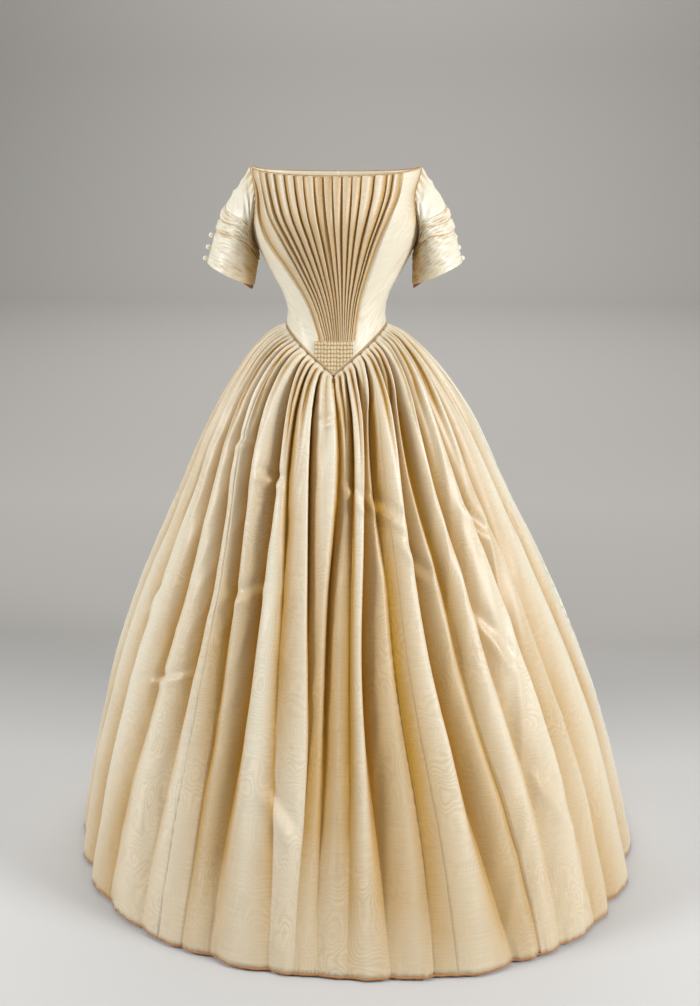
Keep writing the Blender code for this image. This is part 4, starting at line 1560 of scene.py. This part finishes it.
@dataclass
class Sleeve:
    """A short sleeve: upper part, tucked band, facing inside the hem and three buttons."""

    finishes: Finishes
    side: Side
    form: BodiceForm = BodiceForm()
    spokes: int = 120
    # Where the hem's oval reaches furthest from the body and nearest to it
    right_hem: tuple = ((-0.221, -0.004, 0.105), (-0.140, -0.012, 0.068))
    left_hem: tuple = ((0.215, -0.004, 0.107), (0.130, -0.012, 0.071))
    hem_depth: float = 0.050
    underarm_rise: float = 0.47
    armhole_gap: float = 0.0008
    puff: float = 0.012
    puff_towards: tuple = (0.6, 0.0, 0.8)
    puff_shape: float = 0.8
    tilt: float = 2.2
    upper_steps: tuple = (0.0, 0.46, 44)
    # Section of the band with its tucks: steps from the armhole to the hem, and how far it stands off
    band_steps: tuple = (0.462, 0.50, 0.54, 0.552, 0.560, 0.60, 0.655, 0.664, 0.672, 0.72, 0.84,
                         0.95, 1.0)
    band_lifts: tuple = (0.0020, 0.0036, 0.0044, 0.0040, 0.0012, 0.0034, 0.0041, 0.0036, 0.0010,
                         0.0018, 0.0010, 0.0008, 0.0002)
    # The upper part: gathers round, their depth, reach and painted shade, soft hollows and the painted
    # shade underneath
    gathers: int = 26
    gather_depth: float = 0.0016
    gather_reach: float = 0.13
    gather_painted_shade: float = 0.7
    hollow_depth: float = 0.0048
    under_painted_shade: float = 0.85
    # The band: rings, wander of the tucks, wrinkles with the least that takes painted shade, and where
    # the painted shade below the two ledges starts, peaks and ends
    band_rings: int = 90
    tuck_wander: float = 0.016
    wrinkle_depth: float = 0.0026
    wrinkle_level: float = 0.35
    wrinkle_painted_shade: float = 0.7
    ledge_steps: tuple = (0.550, 0.560, 0.568, 0.662, 0.672, 0.680)
    ledge_painted_shades: tuple = (0, 0.8, 0, 0, 0.8, 0)
    # The facing: first and last ring, how much further it reaches at the underarm, and its inset
    facing_steps: tuple = (0.84, 0.985, 4)
    facing_corner: float = 0.055
    facing_inset: float = 0.0024
    button_radius: float = 0.0045
    button_gap: float = 0.0003
    button_steps: tuple = (0.75, 0.865, 0.98)
    left_button_turn: float = 22.0
    spoke_width: float = 0.0024
    sleeve_length: float = 0.13
    upper_cut: tuple = (0.24, 0.09)
    band_cut: tuple = (0.27, 0.11)
    facing_cut: tuple = (0.26, 0.03)

    def hem_points(self) -> tuple[Array, Array]:
        """Where the hem's oval reaches furthest from the body and nearest to it.

        Returns:
            The outer end and the inner end.
        """
        outer, inner = self.right_hem if self.side is Side.RIGHT else self.left_hem
        return np.array(outer), np.array(inner)

    def armhole(self, turns: Array) -> Array:
        """The armhole's edge, from the underarm up the front and down the back.

        Args:
            turns: Where each spoke lies on the way round, from 0 to 1.

        Returns:
            A point for each spoke.
        """
        up = np.clip(np.minimum(turns, 1 - turns) * 2, 0, 1)
        rise = self.underarm_rise + up * (1 - self.underarm_rise)
        edge = np.radians(self.form.side_edge(rise))
        angle = np.where(turns <= 0.5, edge, math.pi - edge) * self.side.value
        return self.form.point(rise, angle) + np.array([self.side.value * self.armhole_gap, 0, 0])

    def ring(self, step: float | Array, lift: Array) -> Array:
        """A ring round the sleeve.

        Args:
            step: 0 at the armhole, 1 at the hem, for the ring or for each of its points.
            lift: How far each point stands off the sleeve's form.

        Returns:
            The ring's points, from the inside of the arm round by the front.
        """
        turns = np.arange(self.spokes) / self.spokes
        outer, inner = self.hem_points()
        theta = (turns * math.tau)[:, None]
        hem = (outer + inner) / 2 + (inner - outer) / 2 * np.cos(theta)
        hem = hem + np.array([0, -self.hem_depth, 0]) * np.sin(theta)
        under = (1 + np.cos(turns * math.tau)) / 2
        share = (np.asarray(step) ** (1 + self.tilt * under))[:, None]
        ring = self.armhole(turns) * (1 - share) + hem * share
        spoke = ring - ring.mean(axis=0)
        spoke /= np.linalg.norm(spoke, axis=-1, keepdims=True)
        towards = np.array(self.puff_towards) * (self.side.value, 1, 1)
        puff = self.puff * np.sin(math.pi * np.minimum(step, 1) ** self.puff_shape)
        puff = puff * np.clip(spoke @ towards, 0, 1)
        return ring + spoke * (puff + lift)[:, None]

    def wall(self, name: str, steps: Array, lifts: Array, valley: Array, finish: bpy.types.Material,
             slot: str, thick: float = CLOTH_WALL) -> bpy.types.Object:
        """A stretch of the sleeve.

        Args:
            name: The solid that it stands for.
            steps: Rings from the armhole down.
            lifts: How far each point of each ring is raised.
            valley: Painted shade at each point.
            finish: Its material.
            slot: A material slot's name; not used.
            thick: Thickness of the cloth.

        Returns:
            The piece.
        """
        points = np.stack([self.ring(step, lift) for step, lift in zip(steps, lifts)])
        across = np.broadcast_to(np.arange(self.spokes) * self.spoke_width, valley.shape)
        down = np.reshape(steps, (len(steps), -1)) * self.sleeve_length
        along = np.broadcast_to(down, valley.shape)
        cloth = ClothGrid(points, valley, across, along, closed=True)
        piece = cloth.piece(f"silk_{name}", finish, flip=self.side is Side.LEFT, wall=thick)
        return declare(piece, [name])

    def build(self) -> list[bpy.types.Object]:
        """Makes the sleeve's pieces.

        Returns:
            The pieces.
        """
        upper, band, facing = self.build_upper(), self.build_band(), self.build_facing()
        buttons = self.build_buttons()
        return [upper, band, facing, buttons]

    def turns(self) -> Array:
        """Where each spoke lies on the way round, from the underarm, as one row."""
        return np.arange(self.spokes)[None, :] / self.spokes

    def underneath(self) -> Array:
        """How near the underarm each spoke lies, from 0 to 1."""
        return (1 + np.cos(self.turns()[0] * math.tau)) / 2

    def build_upper(self) -> bpy.types.Object:
        """Makes the upper part, gathered into the armhole.

        Returns:
            The piece.
        """
        turns, seed = self.turns(), 20 + self.side.value
        first, last, count = self.upper_steps
        steps = np.linspace(first, last, count)
        down = steps[:, None]
        gathers = np.sin(math.tau * self.gathers * turns + 2 * waves(turns * 3, down * 0, seed))
        depth = self.gather_depth * np.exp(-(down / self.gather_reach) ** 2) * (0.5 + 0.5 * gathers)
        hollows = np.abs(waves(turns * 5, down * 4 + turns * 6, seed + 1))
        soft = -self.hollow_depth * hollows * np.sin(math.pi * down / last)
        # Painted shade in the gathers and on the sleeve's underside
        painted_shade = depth / self.gather_depth * self.gather_painted_shade + self.under_painted_shade * self.underneath() ** 2
        return self.wall(f"sleeve_upper_{self.side.word}", steps, soft - depth, np.clip(painted_shade, 0, 1),
                         self.finishes.silk, "silk")

    def build_band(self) -> bpy.types.Object:
        """Makes the band with its tucks, down to the hem.

        Returns:
            The piece.
        """
        turns, seed = self.turns(), 20 + self.side.value
        steps = np.linspace(self.band_steps[0], 1, self.band_rings)
        down = steps[:, None]
        wander = self.tuck_wander * waves(turns * 4, down * 0 + 1, seed + 3)
        uneven = down + wander * np.clip((down - 0.48) * 20, 0, 1)
        lift = np.interp(uneven, self.band_steps, self.band_lifts)
        tucked = np.clip((0.80 - down) * 8, 0.45, 1) * np.clip((1 - down) * 30, 0.2, 1)
        wrinkle = np.abs(waves(turns * 6, down * 24 + turns * 6, seed + 2))
        # Painted shade below the tucks' ledges, on the underside and in the wrinkles
        painted_shade = np.interp(uneven, self.ledge_steps, self.ledge_painted_shades)
        painted_shade = painted_shade + self.under_painted_shade * self.underneath() ** 2
        painted_shade = painted_shade + self.wrinkle_painted_shade * np.clip(wrinkle - self.wrinkle_level, 0, 1) * tucked
        return self.wall(f"sleeve_band_{self.side.word}", steps,
                         lift - self.wrinkle_depth * wrinkle * tucked, np.clip(painted_shade, 0, 1),
                         self.finishes.silk, "silk")

    def build_facing(self) -> bpy.types.Object:
        """Makes the facing inside the hem, of which a sliver shows at the underarm.

        Returns:
            The piece.
        """
        steps = np.linspace(*self.facing_steps)[:, None] + np.zeros(self.spokes)
        steps[-1] += self.facing_corner * self.underneath() ** 6
        inset = np.full(steps.shape, -self.facing_inset)
        # Its dark reddish brown finish paints the shade inside the hem
        return self.wall(f"sleeve_facing_{self.side.word}", steps, inset, np.zeros(steps.shape),
                         self.finishes.facing, "facing")

    def build_buttons(self) -> bpy.types.Object:
        """Makes the three covered buttons down the outside of the band.

        Returns:
            The piece.
        """
        turn = 0.5 + (self.left_button_turn / 360 if self.side is Side.LEFT else 0)
        spots = []
        for step in self.button_steps:
            lift = np.interp(step, self.band_steps, self.band_lifts) + self.button_radius
            ring = self.ring(step, np.full(self.spokes, lift + self.button_gap))
            spots.append(ring[round(turn * self.spokes) % self.spokes])
        piece = button_tree(self.button_radius, self.finishes.silk).run(
            f"silk_sleeve_buttons_{self.side.word}", np.array(spots), [])
        nodes = [f"sleeve_button_{self.side.word}_{n}" for n in (1, 2, 3)]
        return declare(piece, nodes)


@dataclass(frozen=True)
class Studio:
    """Pale paper floor that rises behind, soft lights and the camera."""

    half_width: float = 9.0
    front: float = -7.0
    bend_start: float = 7.2
    bend_radius: float = 1.6
    wall_height: float = 5.0
    # Name, place, aim, side of the square and watts
    lights: tuple = (
        ("left", (-3.2, -1.5, 1.4), (0, 0, -0.3), 1.3, 110),
        ("right", (3.2, -1.7, 1.2), (0, 0, -0.3), 1.3, 138),
        ("front", (-0.6, -4.2, 1.8), (0, 0, -0.2), 1.2, 11),
        ("top", (0.0, 1.2, 3.4), (0, 1.0, -1), 3.0, 60),
        ("back", (0.0, 5.4, 3.6), (0, 7.4, -1), 4.0, 170),
    )
    world_strength: float = 0.12
    # The camera: focal length, picture height and the dress's offset in pixels, sensor in
    # millimetres, angles in degrees
    focal_pixels: float = 1420.0
    image_height: float = 1006.0
    centre_offset: float = 13.5
    sensor: float = 36.0
    pitch: float = 16.5
    azimuth: float = 3.0
    distance: float = 2.45
    camera_height: float = 0.40

    def build_paper(self) -> bpy.types.Object:
        """Makes the floor and the wall behind as one bent sheet.

        Returns:
            The paper.
        """
        bend = np.linspace(0, math.pi / 2, 24)
        y = np.concatenate([[self.front], self.bend_start + self.bend_radius * np.sin(bend),
                            [self.bend_start + self.bend_radius]])
        z = np.concatenate([[FLOOR_HEIGHT], FLOOR_HEIGHT + self.bend_radius * (1 - np.cos(bend)),
                            [self.wall_height]])
        points = [(x, b, c) for b, c in zip(y, z) for x in (-self.half_width, self.half_width)]
        faces = [(2 * n, 2 * n + 1, 2 * n + 3, 2 * n + 2) for n in range(len(y) - 1)]
        mesh = bpy.data.meshes.new("studio_paper")
        mesh.from_pydata([tuple(float(v) for v in p) for p in points], [], faces)
        mesh.shade_smooth()
        mesh.materials.append(StudioPaper().make())
        paper = bpy.data.objects.new("studio_paper", mesh)
        bpy.context.scene.collection.objects.link(paper)
        return paper

    def add_light(self, name: str, place: Place, aim: Place, size: float, power: float) -> None:
        """Adds a soft square light.

        Args:
            name: Its name.
            place: Where it stands.
            aim: The point that it faces.
            size: Side of the square.
            power: Watts.
        """
        data = bpy.data.lights.new(name, "AREA")
        data.energy, data.size = power, size
        lamp = bpy.data.objects.new(name, data)
        lamp.location = place
        lamp.rotation_euler = (Vector(aim) - Vector(place)).to_track_quat("-Z", "Y").to_euler()
        bpy.context.scene.collection.objects.link(lamp)

    def build(self) -> None:
        """Sets the paper, the lights, the world and the camera."""
        self.build_paper()
        for light in self.lights:
            self.add_light(*light)
        world = bpy.data.worlds.new("studio")
        bpy.context.scene.world = world
        world.use_nodes = True
        background = world.node_tree.nodes["Background"]
        background.inputs["Color"].default_value = (1.0, 1.0, 1.0, 1.0)
        background.inputs["Strength"].default_value = self.world_strength
        self.add_camera()
        bpy.context.scene.view_settings.view_transform = "Standard"

    def add_camera(self) -> None:
        """Adds the camera, which looks down at the dress from a little to the wearer's left."""
        data = bpy.data.cameras.new("camera")
        data.sensor_width = self.sensor
        data.lens = self.focal_pixels * self.sensor / self.image_height
        camera = bpy.data.objects.new("camera", data)
        turn = math.radians(self.azimuth)
        camera.location = (self.distance * math.sin(turn), -self.distance * math.cos(turn),
                           self.camera_height)
        yaw = turn - math.atan(self.centre_offset / self.focal_pixels)
        camera.rotation_euler = (math.pi / 2 - math.radians(self.pitch), 0, yaw)
        bpy.context.scene.collection.objects.link(camera)
        bpy.context.scene.camera = camera


def main() -> None:
    """Dresses the frame, piece by piece."""
    logging.basicConfig(level=logging.INFO, format="%(name)s: %(message)s")
    Studio().build()
    finishes = Finishes.make()
    pieces = Bodice(finishes).build() + Skirt(finishes).build()
    for side in Side:
        pieces += Sleeve(finishes, side).build()
    for piece in pieces:
        log.info("%s: %d faces", piece.name, len(piece.data.polygons))


if __name__ == "__main__":
    main()
